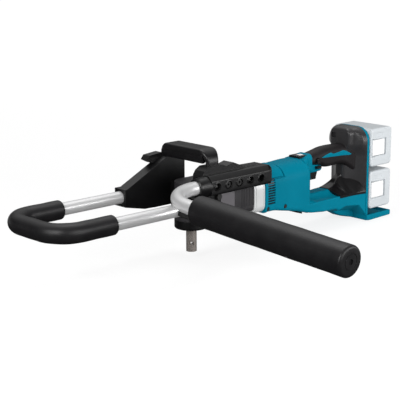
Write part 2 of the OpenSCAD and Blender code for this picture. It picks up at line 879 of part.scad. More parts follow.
module handle_overmould() {
    color(black) difference() {
        slab_y(-grip_w / 2, grip_w / 2) intersection() {
            polygon(handle_line(0));
            translate([bar_front, 0]) square([tower_x - bar_front, tower_top]);
        }
        slab_y(-core_w / 2, core_w / 2) polygon(handle_line(grip_skin));
        rod_y(lock_d + 2 * run_gap, -grip_w, grip_w, lock_x, lock_z);
        lever_slot(slide_gap);
        inlay_shape(0);
    }
}

module inlay_shape(proud) {
    z0 = bar_low + 26;
    for (side = [-1, 1]) slab_y(side * grip_w / 2 - 1.2 - proud, side * grip_w / 2 + 1.2 + proud)
        translate([bar_front, z0]) polygon([[34, -7], [50, -1], [54, 3], [72, 4],
            [80, 9], [96, 8], [100, 2], [60, -5]]);
}

module grip_inlays() {
    color(teal) intersection() {
        inlay_shape(0);
        slab_y(-grip_w / 2 - 0.4, grip_w / 2 + 0.4) polygon(handle_line(0));
    }
}

// Battery end

module tower_form(inset) {
    half = tower_w / 2 - inset;
    face = tower_face / 2 - inset;
    waist = waist_w / 2 - inset;
    front = tower_x + inset;
    top = tower_top - inset;
    low = tower_low + inset;
    round = tower_r - inset;
    nose = tower_nose - inset;
    intersection() {
        slab_x(front, plate_x) polygon(rounded([[-half, low, round / 2], [half, low, round / 2],
            [half, top, round], [-half, top, round]]));
        slab_y(-half, half) polygon(rounded([[front, low, round / 2], [plate_x, low, 0], [plate_x, top, 0],
            [front, top, nose]]));
        union() {
            translate([0, 0, waist_z + inset]) linear_extrude(top - waist_z) polygon(rounded([
                [front, -face, 5], [plate_x - 10, -half, nose], [plate_x, -half, 0], [plate_x, half, 0],
                [plate_x - 10, half, nose], [front, face, 5]]));
            translate([0, 0, low]) linear_extrude(top - low) polygon(rounded([
                [front, -waist, 5], [plate_x - 14, -half + 10, 12], [plate_x - 4, -half, 0],
                [plate_x, -half, 0], [plate_x, half, 0], [plate_x - 4, half, 0],
                [plate_x - 14, half - 10, 12], [front, waist, 5]]));
        }
    }
}

module rear_cover() {
    color(black) difference() {
        union() {
            difference() {
                tower_form(0);
                tower_form(tower_wall);
            }
            slab_x(boot_x, tower_x + tower_wall / 2) polygon(arm_section(boot_t, arm_ridge - boot_t));
        }
        arm_form(0);
        slab_y(-core_w / 2, core_w / 2) polygon(handle_line(grip_skin));
    }
}

module battery_plate() {
    rim = 1;
    half = tower_w / 2 + rim;
    color(teal) slab_x(plate_x, plate_back) polygon(rounded([[-half, guard_top, 0], [half, guard_top, 0],
        [half, tower_top, tower_r], [-half, tower_top, tower_r]]));
}

module battery_guard() {
    end = plate_back + guard_d;
    color(teal) slab_y(-guard_w / 2, guard_w / 2) polygon([
        [plate_x, guard_low + 2], [plate_back + 4, guard_low], [end, guard_low + 5],
        [end, guard_low + 5 + guard_t], [plate_back, guard_top], [plate_x, guard_top]]);
}

module terminal(z) {
    color(black) translate([plate_back, -rail_l / 2, z - rail_w / 2]) cube([rail_t, rail_l, rail_w]);
}
module terminal_upper() { terminal(pack_z[1]); }
module terminal_lower() { terminal(pack_z[0]); }

module pack(z) {
    corner = 9;
    color(pale) difference() {
        slab_y(-pack_l / 2, pack_l / 2)
            polygon(round_rect(pack_d, pack_h, corner, [pack_x + pack_d / 2, z]));
        translate([pack_x - cut, -rail_l / 2 - 0.4, z - rail_w / 2 - 0.4])
            cube([plate_back + rail_t - pack_x + cut + 0.4, pack_l, rail_w + 0.8]);
        slab_y(-pack_l / 2 - cut, -pack_l / 2 + latch_t)
            translate([pack_x + 12, z - latch_size[1] / 2 - slide_gap])
            square([latch_size[0] + latch_travel + 2 * slide_gap, latch_size[1] + 2 * slide_gap]);
    }
}
module pack_upper() { pack(pack_z[1]); }
module pack_lower() { pack(pack_z[0]); }

module latch(z) {
    color("white") translate([pack_x + 12 + slide_gap, -pack_l / 2 - 1, z - latch_size[1] / 2])
        cube([latch_size[0], latch_t + 1, latch_size[1]]);
}
module latch_upper() { latch(pack_z[1]); }
module latch_lower() { latch(pack_z[0]); }

// Brackets and clamp

module bar_bore() {
    rod_x(bar_d + 2 * seat_gap, clamp_mouth - cut, bar_inner + 1, bar_y, bar_z);
}

bolt_holes = [1, 2];
function hole_x(i) = hole_first + i * clamp_pitch;

module bolt_bores(d) {
    for (i = bolt_holes) rod_y(d, clamp_face - cut, -case_side, hole_x(i), bar_z);
}

module clamp_collar() {
    rod_x(bar_d + 10, clamp_mouth, clamp_front + cut, bar_y, bar_z);
}

function roof_line() = [
    [clamp_front - 6, case_top], [clamp_front - 6, case_top + 22], [clamp_front, case_top + 31],
    [leg_x[0] - 2, roof_z], [leg_x[1] + 6, roof_z], [leg_x[1] + 16, roof_z - 4],
    [leg_x[1] + 35, roof_z + 1], [leg_x[1] + 72, case_top + 24],
    [clamp_rear, case_top + 23], [clamp_rear + 6, case_top + 18], [clamp_rear + 6, case_top + 3],
    [case_rear - 2, case_top + 3], [case_rear - 2, case_top]];

module near_bracket() {
    cradle_top = u_z + 3;
    web_low = socket_low - 4;
    web_front = socket_end - 12;
    web_top = bar_z - bar_d / 2 - 6;
    color(black) difference() {
        union() {
            translate([clamp_front, bar_y, bracket_top - cut])
                cube([clamp_rear - clamp_front, bar_side - case_side, clamp_h + cut]);
            intersection() {
                clamp_collar();
                translate([clamp_mouth, bar_y, 0]) cube([case_rear, bar_side, tower_top]);
            }
            slab_y(bar_y, roof_in) polygon(roof_line());
            slab_y(-u_y - socket_w / 2, -u_y + socket_w / 2) polygon([[socket_mouth + scoop, socket_low],
                [socket_end + 15, web_low], [socket_end + 15, cradle_top], [socket_mouth, cradle_top],
                [socket_mouth, u_z - u_d / 4]]);
            translate([web_front, near_web, web_low])
                cube([web_rear - web_front, -case_side - near_web, web_top - web_low]);
            translate([web_front, bar_y, web_low])
                cube([web_rear - web_front, bar_side - case_side, bracket_top - web_low]);
        }
        bar_bore();
        bolt_bores(bolt_d + 0.2);
        rod_x(u_d + 2 * seat_gap, socket_mouth - cut, socket_end, -u_y, u_z);
        for (z = web_bolt_z) rod_y(screw_m + 2 * seat_gap, near_web - cut, -case_side + cut, web_bolt_x, z);
    }
}

module bar_clamp() {
    edge = 4;
    shoulder = 5;
    top = bracket_top + clamp_h;
    color(dark_grey) difference() {
        union() {
            slab_x(clamp_front, clamp_rear) polygon(rounded([[bar_y, bracket_top, 0],
                [bar_y, top + shoulder, 0], [clamp_face + 2 * shoulder, top + shoulder, edge],
                [clamp_face, top - shoulder, edge], [clamp_face, bracket_top, edge]]));
            intersection() {
                clamp_collar();
                translate([clamp_mouth, bar_y - bar_side, 0]) cube([case_rear, bar_side, tower_top]);
            }
        }
        bar_bore();
        for (i = [0 : clamp_holes - 1])
            rod_y(clamp_hole_d, clamp_face - cut, bar_y - bar_d / 2 + 3, hole_x(i), bar_z);
        bolt_bores(bolt_d + 0.2);
    }
}

module clamp_bolts() {
    head_d = 12.5;
    seat = bar_y - bar_d / 2;
    color(steel) for (i = bolt_holes) difference() {
        union() {
            rod_y(bolt_d, seat - cut, -case_side - 1, hole_x(i), bar_z);
            rod_y(head_d, seat - 6, seat - 0.1, hole_x(i), bar_z);
        }
        rod_y(6, seat - 7, seat - 3, hole_x(i), bar_z, $fn = 6);
    }
}

module far_bracket() {
    gusset_low = socket_low - 12;
    socket_top = u_z + u_d / 2 + 5;
    color(black) difference() {
        union() {
            slab_y(far_in, far_out) polygon([[socket_mouth, socket_low], [socket_end - 25, gusset_low + 1],
                [socket_end + 10, gusset_low], [socket_end + 10, socket_top], [socket_mouth, socket_top]]);
            slab_y(far_in, gusset_out) polygon([
                [socket_end, gusset_low], [saddle_x[1], gusset_low], [saddle_x[1], case_top + 36],
                [carry_x, case_top + 42], [-38, case_top + 27], [socket_mouth + 6, socket_top + 1],
                [socket_mouth, socket_top - 1], [socket_end, u_z]]);
            translate([carry_x, far_in, case_top])
                cube([saddle_x[1] - carry_x, post_out - far_in, carry_low - case_top]);
            slab_y(u_y - 4, far_out) polygon([[-51, case_top + 38], [-44, case_top + 47],
                [carry_x, case_top + 50], [carry_x, case_top + 41], [-35, case_top + 30]]);
        }
        rod_x(u_d + 2 * seat_gap, socket_mouth - cut, socket_end, u_y, u_z);
        bracket_screws(2 * seat_gap, screw_reach);
    }
}

// The socket screws that hold the two brackets to the gear case.
module bracket_screws(gap, reach) {
    for (z = web_bolt_z) rod_y(screw_m + gap, near_web - cut, -case_side + reach, web_bolt_x, z);
    for (p = saddle_bolts) rod_y(screw_m + gap, case_side - reach, gusset_out + cut, p[0], p[1]);
}

module saddle() {
    color(black) difference() {
        translate([saddle_x[0], case_side, saddle_z[0]])
            cube([saddle_x[1] - saddle_x[0], far_in - case_side, saddle_z[1] - saddle_z[0]]);
        bracket_screws(2 * seat_gap, screw_reach);
    }
}

module bracket_bolts() {
    head_d = 13;
    head_h = 6;
    color(dark_grey) {
        intersection() {
            bracket_screws(0, screw_reach - 1);
            translate([-body_w, near_web, 0]) cube([2 * body_w, gusset_out - near_web, 2 * axis_z]);
        }
        for (z = web_bolt_z) rod_y(head_d, near_web - head_h, near_web, web_bolt_x, z);
        for (p = saddle_bolts) rod_y(head_d, gusset_out, gusset_out + head_h, p[0], p[1]);
    }
}

module carry_handle() {
    bend = 20;
    arch_y = leg_y[1] + bend;
    color(black) {
        slab_x(carry_x, carry_x + carry_w) polygon(rounded([[arch_y, carry_low, 0], [post_out, carry_low, 0],
            [post_out, carry_top, carry_t - 1], [arch_y, carry_top, 0]]));
        translate([carry_x, leg_y[1] + leg_gap, carry_low - lip_h])
            cube([lip_t, far_in - leg_y[1] - leg_gap, lip_h + cut]);
        slab_x(leg_x[0], leg_x[1]) polygon(rounded([[leg_y[0], roof_z, 0], [leg_y[1], roof_z, 0],
            [leg_y[1], carry_low, 6], [arch_y + cut, carry_low, 0], [arch_y + cut, carry_top, 0],
            [leg_y[0], carry_top, bend]]));
    }
}

// Front U bar

module u_path(d, start) {
    straight = u_y - u_bend;
    for (side = [-1, 1]) {
        rod_x(d, -u_reach + u_bend, start, side * u_y, u_z);
        translate([-u_reach + u_bend, side * straight, u_z]) rotate([0, 0, side > 0 ? 90 : 180])
            rotate_extrude(angle = 90) translate([u_bend, 0]) circle(d = d);
    }
    rod_y(d, -straight, straight, -u_reach, u_z);
}

module u_bar_tube() {
    color(alloy) difference() {
        u_path(u_d, socket_end - 2);
        u_path(u_d - 2 * tube_wall, socket_end + 20);
    }
}

module u_bar_foam() {
    color(foam) difference() {
        u_path(u_foam_d, -u_foam_start);
        u_path(u_d + 2 * seat_gap, -u_foam_start + 20);
    }
}

// Reaction bar

module bar_tilt() {
    translate([0, bar_y, bar_z]) rotate([bar_droop, 0, 0]) children();
}

module bar_path(d, inner, outer) {
    bend_x = -bar_reach + bar_bend;
    bar_tilt() {
        translate([bend_x, 0, 0]) rotate([0, 90, 0]) cylinder(d = d, h = inner - bend_x);
        translate([bend_x, -bar_bend, 0]) rotate([0, 0, 90])
            rotate_extrude(angle = 90) translate([bar_bend, 0]) circle(d = d);
        translate([-bar_reach, -bar_bend, 0]) rotate([90, 0, 0]) cylinder(d = d, h = outer - bar_bend);
    }
}

module reaction_bar_tube() {
    outer = grip_start + grip_len - 14;
    color(alloy) difference() {
        bar_path(bar_d, bar_inner, outer);
        bar_path(bar_d - 2 * tube_wall, bar_inner + 5, outer + 5);
        for (i = bolt_holes) rod_y(bolt_d + 0.2, bar_y - bar_d, bar_y + bar_d, hole_x(i), bar_z);
    }
}

module reaction_bar_grip() {
    round = 6;
    bore_r = bar_d / 2 + seat_gap;
    mark_r = 5;
    color(foam) bar_tilt() translate([-bar_reach, -grip_start, 0]) rotate([90, 0, 0]) rotate_extrude()
        polygon(concat([[bore_r, 0], [grip_d / 2 - 3, 0], [grip_d / 2, 3]],
            [for (i = [0 : 6])
                [grip_d / 2 - round + round * cos(15 * i), grip_len - round + round * sin(15 * i)]],
            [[mark_r, grip_len], [mark_r, grip_len - 14 + seat_gap], [bore_r, grip_len - 14 + seat_gap]]));
}

module grip_end_plug() {
    color(black) bar_tilt() translate([-bar_reach, -grip_start - grip_len + 12, 0]) rotate([90, 0, 0])
        cylinder(r = 5 - seat_gap, h = 10);
}

spindle();
bevel_gear();
oil_seal();
spindle_bearing_lower();
spindle_bearing_upper();
head_flange();
gear_case();
grease_plug();
bevel_pinion();
planet_carrier();
carrier_bearing();
planet_gear_1();
planet_gear_2();
planet_gear_3();
ring_gear();
sun_gear();
bearing_plate();
motor_bearing_front();
case_ring();
cooling_fan();
rotor();
stator();
motor_bearing_rear();
housing_left();
housing_right();
housing_screws();
bottom_strip();
controller();
switch_unit();
trigger();
lock_off_button();
direction_lever();
indicator_panel();
indicator_lens();
check_button();
handle_overmould();
grip_inlays();
rear_cover();
battery_plate();
battery_guard();
terminal_upper();
terminal_lower();
pack_upper();
pack_lower();
latch_upper();
latch_lower();
near_bracket();
far_bracket();
saddle();
bar_clamp();
clamp_bolts();
bracket_bolts();
carry_handle();
u_bar_tube();
u_bar_foam();
reaction_bar_tube();
reaction_bar_grip();
grip_end_plug();
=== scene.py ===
# %% [markdown]
# The imported CAD model gives every piece its size, its place and its joint. This lesson keeps that frame
# and works on what the eye sees: soft edges, foam, brushed tube, cast brackets and moulded plastic. Load
# the frame first and keep its box, because the finished model has to stay inside it.

# %% Load the CAD frame
import json
import bmesh
import bpy
import numpy as np
from mathutils import Matrix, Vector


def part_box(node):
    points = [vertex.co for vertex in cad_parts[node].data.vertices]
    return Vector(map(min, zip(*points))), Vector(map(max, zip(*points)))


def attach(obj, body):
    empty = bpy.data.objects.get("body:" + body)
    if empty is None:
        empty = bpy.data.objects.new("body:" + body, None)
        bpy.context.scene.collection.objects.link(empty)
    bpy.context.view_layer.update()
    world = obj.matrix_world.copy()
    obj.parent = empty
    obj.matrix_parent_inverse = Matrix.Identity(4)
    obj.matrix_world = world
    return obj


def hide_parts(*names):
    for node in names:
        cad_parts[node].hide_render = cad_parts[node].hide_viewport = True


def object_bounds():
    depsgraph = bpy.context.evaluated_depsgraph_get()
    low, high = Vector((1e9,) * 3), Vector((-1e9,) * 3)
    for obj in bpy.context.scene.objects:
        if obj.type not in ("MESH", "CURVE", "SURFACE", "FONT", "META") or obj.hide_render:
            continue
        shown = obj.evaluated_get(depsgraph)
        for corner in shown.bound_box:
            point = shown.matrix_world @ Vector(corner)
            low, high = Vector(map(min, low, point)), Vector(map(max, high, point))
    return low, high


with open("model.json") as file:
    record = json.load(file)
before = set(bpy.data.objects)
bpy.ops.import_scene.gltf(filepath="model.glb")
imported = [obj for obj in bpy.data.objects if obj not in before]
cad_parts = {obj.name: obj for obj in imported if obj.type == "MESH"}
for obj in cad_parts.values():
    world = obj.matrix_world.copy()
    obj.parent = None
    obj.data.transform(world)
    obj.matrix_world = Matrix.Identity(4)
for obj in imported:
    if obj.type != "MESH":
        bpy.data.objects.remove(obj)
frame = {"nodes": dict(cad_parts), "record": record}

cad_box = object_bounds()
MM = 0.001
print("nodes", len(frame["nodes"]), "CAD box", [[round(v, 3) for v in corner] for corner in cad_box])

# %% [markdown]
# ## The camera
# A product photograph is usually taken with a long lens from a few metres away, so parallel edges stay
# nearly parallel. Aim a camera by its three axes: right, up and the way it looks. A rotation matrix built
# from them is easier to reason about than three Euler angles, and the square picture needs no shift.

# %% Camera
turn, dip, roll = np.radians([42.998, 13.297, -0.286])
look = np.array([np.sin(turn) * np.cos(dip), np.cos(turn) * np.cos(dip), -np.sin(dip)])
level = np.array([np.cos(turn), -np.sin(turn), 0.0])
rise = np.cross(level, look)
right = np.cos(roll) * level + np.sin(roll) * rise
up = np.cos(roll) * rise - np.sin(roll) * level
eye = np.array([-1.59982, -1.74233, 0.66640])

SENSOR, FOCAL_PIXELS, PICTURE_PIXELS = 36.0, 1185.02, 400
camera_data = bpy.data.cameras.new("camera")
camera_data.sensor_width = SENSOR
camera_data.lens = SENSOR * FOCAL_PIXELS / PICTURE_PIXELS
camera_data.clip_end = 100.0
camera = bpy.data.objects.new("camera", camera_data)
bpy.context.scene.collection.objects.link(camera)
pose = np.eye(4)
pose[:3, :4] = np.column_stack([right, up, -look, eye])
camera.matrix_world = Matrix(pose.tolist())
bpy.context.scene.camera = camera
print("lens", round(camera_data.lens, 1), "mm")

# %% [markdown]
# ## Shader arithmetic
# A finish is easier to read as a formula than as a drawing of boxes and lines. This small class holds one
# output socket. Adding, subtracting or multiplying two of them lays down a Math node, so `1 - mask` works,
# and one method makes any other node from its type, its settings and its inputs.

# %% One class for sockets
class Wire:
    """One output socket of a shader tree. Arithmetic on it adds Math nodes."""

    def __init__(self, tree, socket):
        self.tree = tree
        self.socket = socket

    def node(self, kind, settings, inputs, output=0):
        """Add a node: settings first, with a ramp's stops as (place, colour), then values or wires."""
        made = self.tree.nodes.new("ShaderNode" + kind)
        for key, value in settings.items():
            if key == "stops":
                ramp = made.color_ramp.elements
                for element, (place, colour) in zip((ramp[0], ramp[1]), (value[0], value[-1])):
                    element.position = place
                    element.color = colour
                for place, colour in value[1:-1]:
                    ramp.new(place).color = colour
            else:
                setattr(made, key, value)
        for key, value in inputs.items():
            if isinstance(value, Wire):
                self.tree.links.new(value.socket, made.inputs[key])
            else:
                made.inputs[key].default_value = value
        return Wire(self.tree, made.outputs[output])

    def math(self, operation, first, second):
        """A Math node on two values or wires."""
        return self.node("Math", {"operation": operation}, {0: first, 1: second})

    def __add__(self, other):
        return self.math("ADD", self, other)

    __radd__ = __add__

    def __sub__(self, other):
        return self.math("SUBTRACT", self, other)

    def __rsub__(self, other):
        return self.math("SUBTRACT", other, self)

    def __mul__(self, other):
        return self.math("MULTIPLY", self, other)

    __rmul__ = __mul__

    def noise(self, scale, detail=2.0):
        """Noise on this coordinate, as a value from 0 to 1."""
        return self.node("TexNoise", {}, {"Vector": self, "Scale": scale, "Detail": detail})

    def between(self, low, high):
        """This value from 0 to 1, carried to the range low to high."""
        return self * (high - low) + low

    def colours(self, low, high):
        """This value from 0 to 1, as a mix of two colours."""
        stops = [(0.3, (*low, 1.0)), (0.7, (*high, 1.0))]
        return self.node("ValToRGB", {"stops": stops}, {"Fac": self})

    def bump(self, distance, strength=1.0):
        """A normal that this height raises by that many metres."""
        return self.node("Bump", {}, {"Height": self, "Distance": distance, "Strength": strength})


def finish(name, build, **constants):
    """A material: constants go straight onto the shader, and build(place) gives the sockets that vary."""
    material = bpy.data.materials.new(name)
    material.use_nodes = True
    tree = material.node_tree
    shader = next(n for n in tree.nodes if n.type == "BSDF_PRINCIPLED")
    for key, value in constants.items():
        shader.inputs[key.replace("_", " ")].default_value = value
    place = Wire(tree, tree.nodes.new("ShaderNodeTexCoord").outputs["Object"])
    for key, wire in build(place).items():
        tree.links.new(wire.socket, shader.inputs[key])
    return material


print("shader class ready")

# %% [markdown]
# ## A white studio
# The object stands in a white studio: a lit sweep of paper behind it, a darker room behind the camera, and
# four soft boxes, at the near side, the right, the front and above. The world lends a plain fill. Camera
# rays see white, so the background is white without throwing more light on the object. Rays of gloss and of
# clear glass see white where the sweep is, so gloss is bright on faces that look back and up, and dark on
# those that look at the room.

# %% Floor and world
def ray_kinds(tree):
    """Two wires: 1 for rays of the camera, and 1 for rays of gloss or of clear glass."""
    light_path = tree.nodes.new("ShaderNodeLightPath")
    camera_ray, gloss_ray, clear_ray = [
        Wire(tree, light_path.outputs[f"Is {kind} Ray"]) for kind in ("Camera", "Glossy", "Transmission")]
    return camera_ray, gloss_ray.math("MAXIMUM", gloss_ray, clear_ray)


def towards(place, way, near, far, low, high):
    """How far a place lies along a way, carried from the range near to far to the range low to high."""
    reach = place.node("VectorMath", {"operation": "DOT_PRODUCT"}, {0: place, 1: way}, "Value")
    return reach.node("MapRange", {}, {
        "Value": reach, "From Min": near, "From Max": far, "To Min": low, "To Max": high})


bpy.context.scene.view_settings.view_transform = "Standard"
world = bpy.data.worlds.new("studio")
world.use_nodes = True
bpy.context.scene.world = world
background = world.node_tree.nodes["Background"]
background.inputs["Color"].default_value = (1.0, 1.0, 1.0, 1.0)
FILL_LIGHT, ROOM_GLOSS, SWEEP_EDGE = 0.4, 0.03, 0.58
SWEEP_WAY, BACK_WAY = (0.30, 0.35, 0.89), (0.68, 0.73, 0.0)
sky = Wire(world.node_tree, world.node_tree.nodes.new("ShaderNodeTexCoord").outputs["Generated"])
sweep = towards(sky, SWEEP_WAY, SWEEP_EDGE, 1.0, ROOM_GLOSS, 1.0)
camera_ray, gloss = ray_kinds(world.node_tree)
strength = FILL_LIGHT * (1 - camera_ray - gloss) + camera_ray + sweep * gloss
world.node_tree.links.new(strength.socket, background.inputs["Strength"])

floor_z = cad_box[0][2]
floor_mesh = bpy.data.meshes.new("floor")
FLOOR_HALF = 30.0
floor_corners = [(-FLOOR_HALF, -FLOOR_HALF), (FLOOR_HALF, -FLOOR_HALF), (FLOOR_HALF, FLOOR_HALF),
                 (-FLOOR_HALF, FLOOR_HALF)]
floor_mesh.from_pydata([(*corner, floor_z) for corner in floor_corners], [], [(0, 1, 2, 3)])
floor = bpy.data.objects.new("floor", floor_mesh)
bpy.context.scene.collection.objects.link(floor)
paper = bpy.data.materials.new("floor_paper")
paper.use_nodes = True
paper_shader = next(n for n in paper.node_tree.nodes if n.type == "BSDF_PRINCIPLED")
paper_shader.inputs["Roughness"].default_value = 0.9
paper_shader.inputs["Specular IOR Level"].default_value = 0.0
paper_shader.inputs["Emission Strength"].default_value = 1.0
PAPER, PAPER_FILL, PAPER_GLOW, FAR_GLOW = 0.25, 0.3, 0.8, 0.95
spot = Wire(paper.node_tree, paper.node_tree.nodes.new("ShaderNodeTexCoord").outputs["Object"])
paper_sweep = towards(spot, BACK_WAY, 0.2, 1.6, ROOM_GLOSS, 1.0)
paper_glow = towards(spot, BACK_WAY, 0.8, 4.0, PAPER_GLOW, FAR_GLOW)
camera_ray, gloss = ray_kinds(paper.node_tree)
glow = PAPER_FILL * (1 - camera_ray - gloss) + paper_glow * camera_ray + paper_sweep * gloss
paper.node_tree.links.new(glow.socket, paper_shader.inputs["Emission Color"])
paper.node_tree.links.new(((1 - gloss) * PAPER).socket, paper_shader.inputs["Base Color"])
floor_mesh.materials.append(paper)
print("floor at", round(floor_z, 4))

# %% Soft boxes
def soft_box(name, place, target, size, watts):
    """An area lamp at a place, turned towards a target."""
    lamp = bpy.data.lights.new(name, "AREA")
    lamp.shape = "RECTANGLE"
    lamp.size, lamp.size_y = size
    lamp.energy = watts
    holder = bpy.data.objects.new(name, lamp)
    bpy.context.scene.collection.objects.link(holder)
    away = np.array(place) - np.array(target)
    away = away / np.linalg.norm(away)
    across = np.cross([0.0, 0.0, 1.0], away)
    across = across / np.linalg.norm(across)
    frame_of_lamp = np.eye(4)
    frame_of_lamp[:3, :4] = np.column_stack([across, np.cross(away, across), away, place])
    holder.matrix_world = Matrix(frame_of_lamp.tolist())


LIT_POINT = (0.1, -0.1, 0.1)
soft_box("near_side", (0.0, -2.6, 0.9), LIT_POINT, (1.8, 1.2), 30.0)
soft_box("right_side", (1.4, -1.9, 0.5), LIT_POINT, (1.2, 0.8), 16.0)
soft_box("front", (-2.3, -0.7, 1.2), LIT_POINT, (1.2, 1.0), 34.0)
soft_box("top", (0.3, 0.5, 2.4), LIT_POINT, (1.6, 1.0), 14.0)

# %% [markdown]
# ## Finishes
# Each finish starts from what the real surface does. Moulded plastic has a fine spark-eroded grain, so a
# small noise drives a Bump node and shifts the roughness a little. Powder coat has the coarser wave of an
# orange peel and is a little lighter on its high spots. Satin tube has long fine lines from drawing. Foam is
# soft and dark, with tiny closed cells. A table of numbers for each kind keeps the recipes short.

# %% Plastics and rubber
def moulded(low, high, grain, rough, depth):
    """Moulded plastic: a slow drift between two colours, and a fine grain that bumps and roughens."""
    def build(place):
        drift = place.noise(18.0)
        fine = place.noise(grain, 4.0)
        return {"Base Color": drift.colours(low, high),
                "Roughness": fine.between(rough - 0.08, rough + 0.08),
                "Normal": fine.bump(depth)}
    return build


PLASTICS = [
    # name, darker colour, lighter colour, grain, roughness, bump depth, specular level
    ("teal_plastic", (0.0, 0.175, 0.262), (0.001, 0.192, 0.285), 2400.0, 0.42, 0.00006, 0.03),
    ("black_plastic", (0.0045, 0.0042, 0.0048), (0.0065, 0.006, 0.0068), 2200.0, 0.34, 0.00008, 0.42),
    # the tower's black is a lighter copy of black plastic: painted light, standing in for the light on its
    # front and flank
    ("tower_black_painted_lighter", (0.026, 0.0255, 0.027), (0.034, 0.033, 0.035), 2200.0, 0.33, 0.0001, 0.5),
    ("soft_cover", (0.010, 0.0085, 0.0095), (0.014, 0.012, 0.013), 1500.0, 0.5, 0.00012, 0.22),
    ("pack_shell", (0.60, 0.635, 0.66), (0.64, 0.675, 0.70), 1800.0, 0.4, 0.00005, 0.4),
    ("pale_trim", (0.92, 0.92, 0.92), (0.95, 0.95, 0.95), 1800.0, 0.4, 0.00004, 0.4),
    ("grey_button", (0.125, 0.118, 0.128), (0.14, 0.132, 0.142), 1800.0, 0.4, 0.00005, 0.4)]
finishes = {}
for name, low, high, grain, rough, depth, specular in PLASTICS:
    finishes[name] = finish(name, moulded(low, high, grain, rough, depth), Specular_IOR_Level=specular)
print("plastics", sorted(finishes))

# %% Castings, tube and steel
def coated(low, high, grain, rough, depth):
    """Powder coat over a casting: orange-peel noise, lighter where the noise stands high."""
    def build(place):
        peel = place.noise(grain, 3.0)
        cloud = place.noise(40.0)
        return {"Base Color": (peel * 0.6 + cloud * 0.4).colours(low, high),
                "Roughness": cloud.between(rough - 0.1, rough + 0.1),
                "Normal": peel.bump(depth)}
    return build


def drawn(direction, low, high, rough):
    """Drawn metal: noise stretched along one direction, so that its lines run that way."""
    stretch = [25.0 if axis == direction else 900.0 for axis in "xyz"]

    def build(place):
        lined = place.node("Mapping", {}, {"Vector": place, "Scale": stretch}).noise(1.0, 3.0)
        cloud = place.noise(30.0)
        return {"Base Color": (lined * 0.5 + cloud * 0.5).colours(low, high),
                "Roughness": lined.between(rough - 0.07, rough + 0.07),
                "Normal": lined.bump(0.00003)}
    return build


COATED = [
    # name, darker colour, lighter colour, grain, roughness, bump depth, specular level
    ("bracket_casting", (0.0025, 0.0025, 0.0028), (0.0045, 0.0043, 0.0048), 900.0, 0.38, 0.00012, 0.5),
    ("gear_case_casting", (0.026, 0.0245, 0.027), (0.034, 0.032, 0.035), 900.0, 0.42, 0.0001, 0.4),
    ("dark_fixings", (0.012, 0.012, 0.012), (0.03, 0.03, 0.03), 1500.0, 0.35, 0.00005, 0.5)]
for name, low, high, grain, rough, depth, specular in COATED:
    finishes[name] = finish(name, coated(low, high, grain, rough, depth), Specular_IOR_Level=specular)
DRAWN = [
    # name, direction of the lines, darker colour, lighter colour, roughness, metallic share
    ("satin_tube", "x", (0.72, 0.72, 0.725), (0.82, 0.82, 0.825), 0.35, 0.5),
    ("bright_alloy", "y", (0.68, 0.69, 0.69), (0.78, 0.785, 0.785), 0.4, 0.2),
    ("steel", "z", (0.58, 0.52, 0.475), (0.68, 0.62, 0.57), 0.27, 0.75),
    ("windings", "x", (0.42, 0.18, 0.07), (0.62, 0.30, 0.12), 0.3, 1.0)]
for name, direction, low, high, rough, metallic in DRAWN:
    finishes[name] = finish(name, drawn(direction, low, high, rough), Metallic=metallic)
print("metals ready")

# %% Foam
def foam_cells(place):
    """Closed-cell foam: round cells from a Voronoi pattern under a soft large noise."""
    cells = place.node("TexVoronoi", {"feature": "SMOOTH_F1"}, {"Vector": place, "Scale": 900.0})
    cloud = place.noise(35.0, 3.0)
    return {"Base Color": cloud.colours((0.008, 0.0075, 0.0085), (0.0115, 0.011, 0.012)),
            "Roughness": cloud.between(0.36, 0.46),
            "Normal": (cells * 0.7 + cloud * 0.3).bump(0.00018)}


finishes["foam"] = finish("foam", foam_cells, Specular_IOR_Level=0.36)

slot_of = {part["node"]: part["material_slot"] for part in frame["record"]["subparts"]}
for node_name, node_object in frame["nodes"].items():
    node_object.data.materials.clear()
    node_object.data.materials.append(finishes[slot_of[node_name]])
print("finishes", len(finishes), "on", len(slot_of), "CAD nodes")

# %% [markdown]
# ## From a grid of points to a mesh
# Every new piece below is a rectangle of points bent into shape. Row by row, neighbours make small square
# faces. A modeller could push vertices by hand instead, but a grid keeps the surface even and lets one
# formula shape it. Counting the volume with its sign shows whether the faces look outwards.

# %% Grid surfaces
def signed_volume(a, b, c):
    """Six times the volume between the origin and triangles a, b, c, positive when they face outwards."""
    return np.sum(a * np.cross(b, c))


def shell(points, loop=False):
    """Vertices, square faces and end faces of a grid in millimetres. The last column joins the first. With
    loop the last row joins the first too, and otherwise a face closes each end."""
    rows, columns = points.shape[:2]
    row, column = np.meshgrid(np.arange(rows if loop else rows - 1), np.arange(columns), indexing="ij")
    next_row = (row + 1) % rows
    next_column = (column + 1) % columns
    corners = [(row, column), (row, next_column), (next_row, next_column), (next_row, column)]
    quads = np.stack([r * columns + c for r, c in corners], axis=-1).reshape(-1, 4)
    vertices = points.reshape(-1, 3)
    first_row = np.arange(columns)
    ends = [] if loop else [first_row[::-1], first_row + (rows - 1) * columns]
    corner = vertices[quads]
    volume = signed_volume(corner[:, 0], corner[:, 1], corner[:, 2])
    volume += signed_volume(corner[:, 0], corner[:, 2], corner[:, 3])
    for end in ends:
        ring = vertices[end]
        volume += signed_volume(np.broadcast_to(ring[0], ring[2:].shape), ring[1:-1], ring[2:])
    if volume < 0:
        quads = quads[:, ::-1]
        ends = [end[::-1] for end in ends]
    return vertices, quads, ends


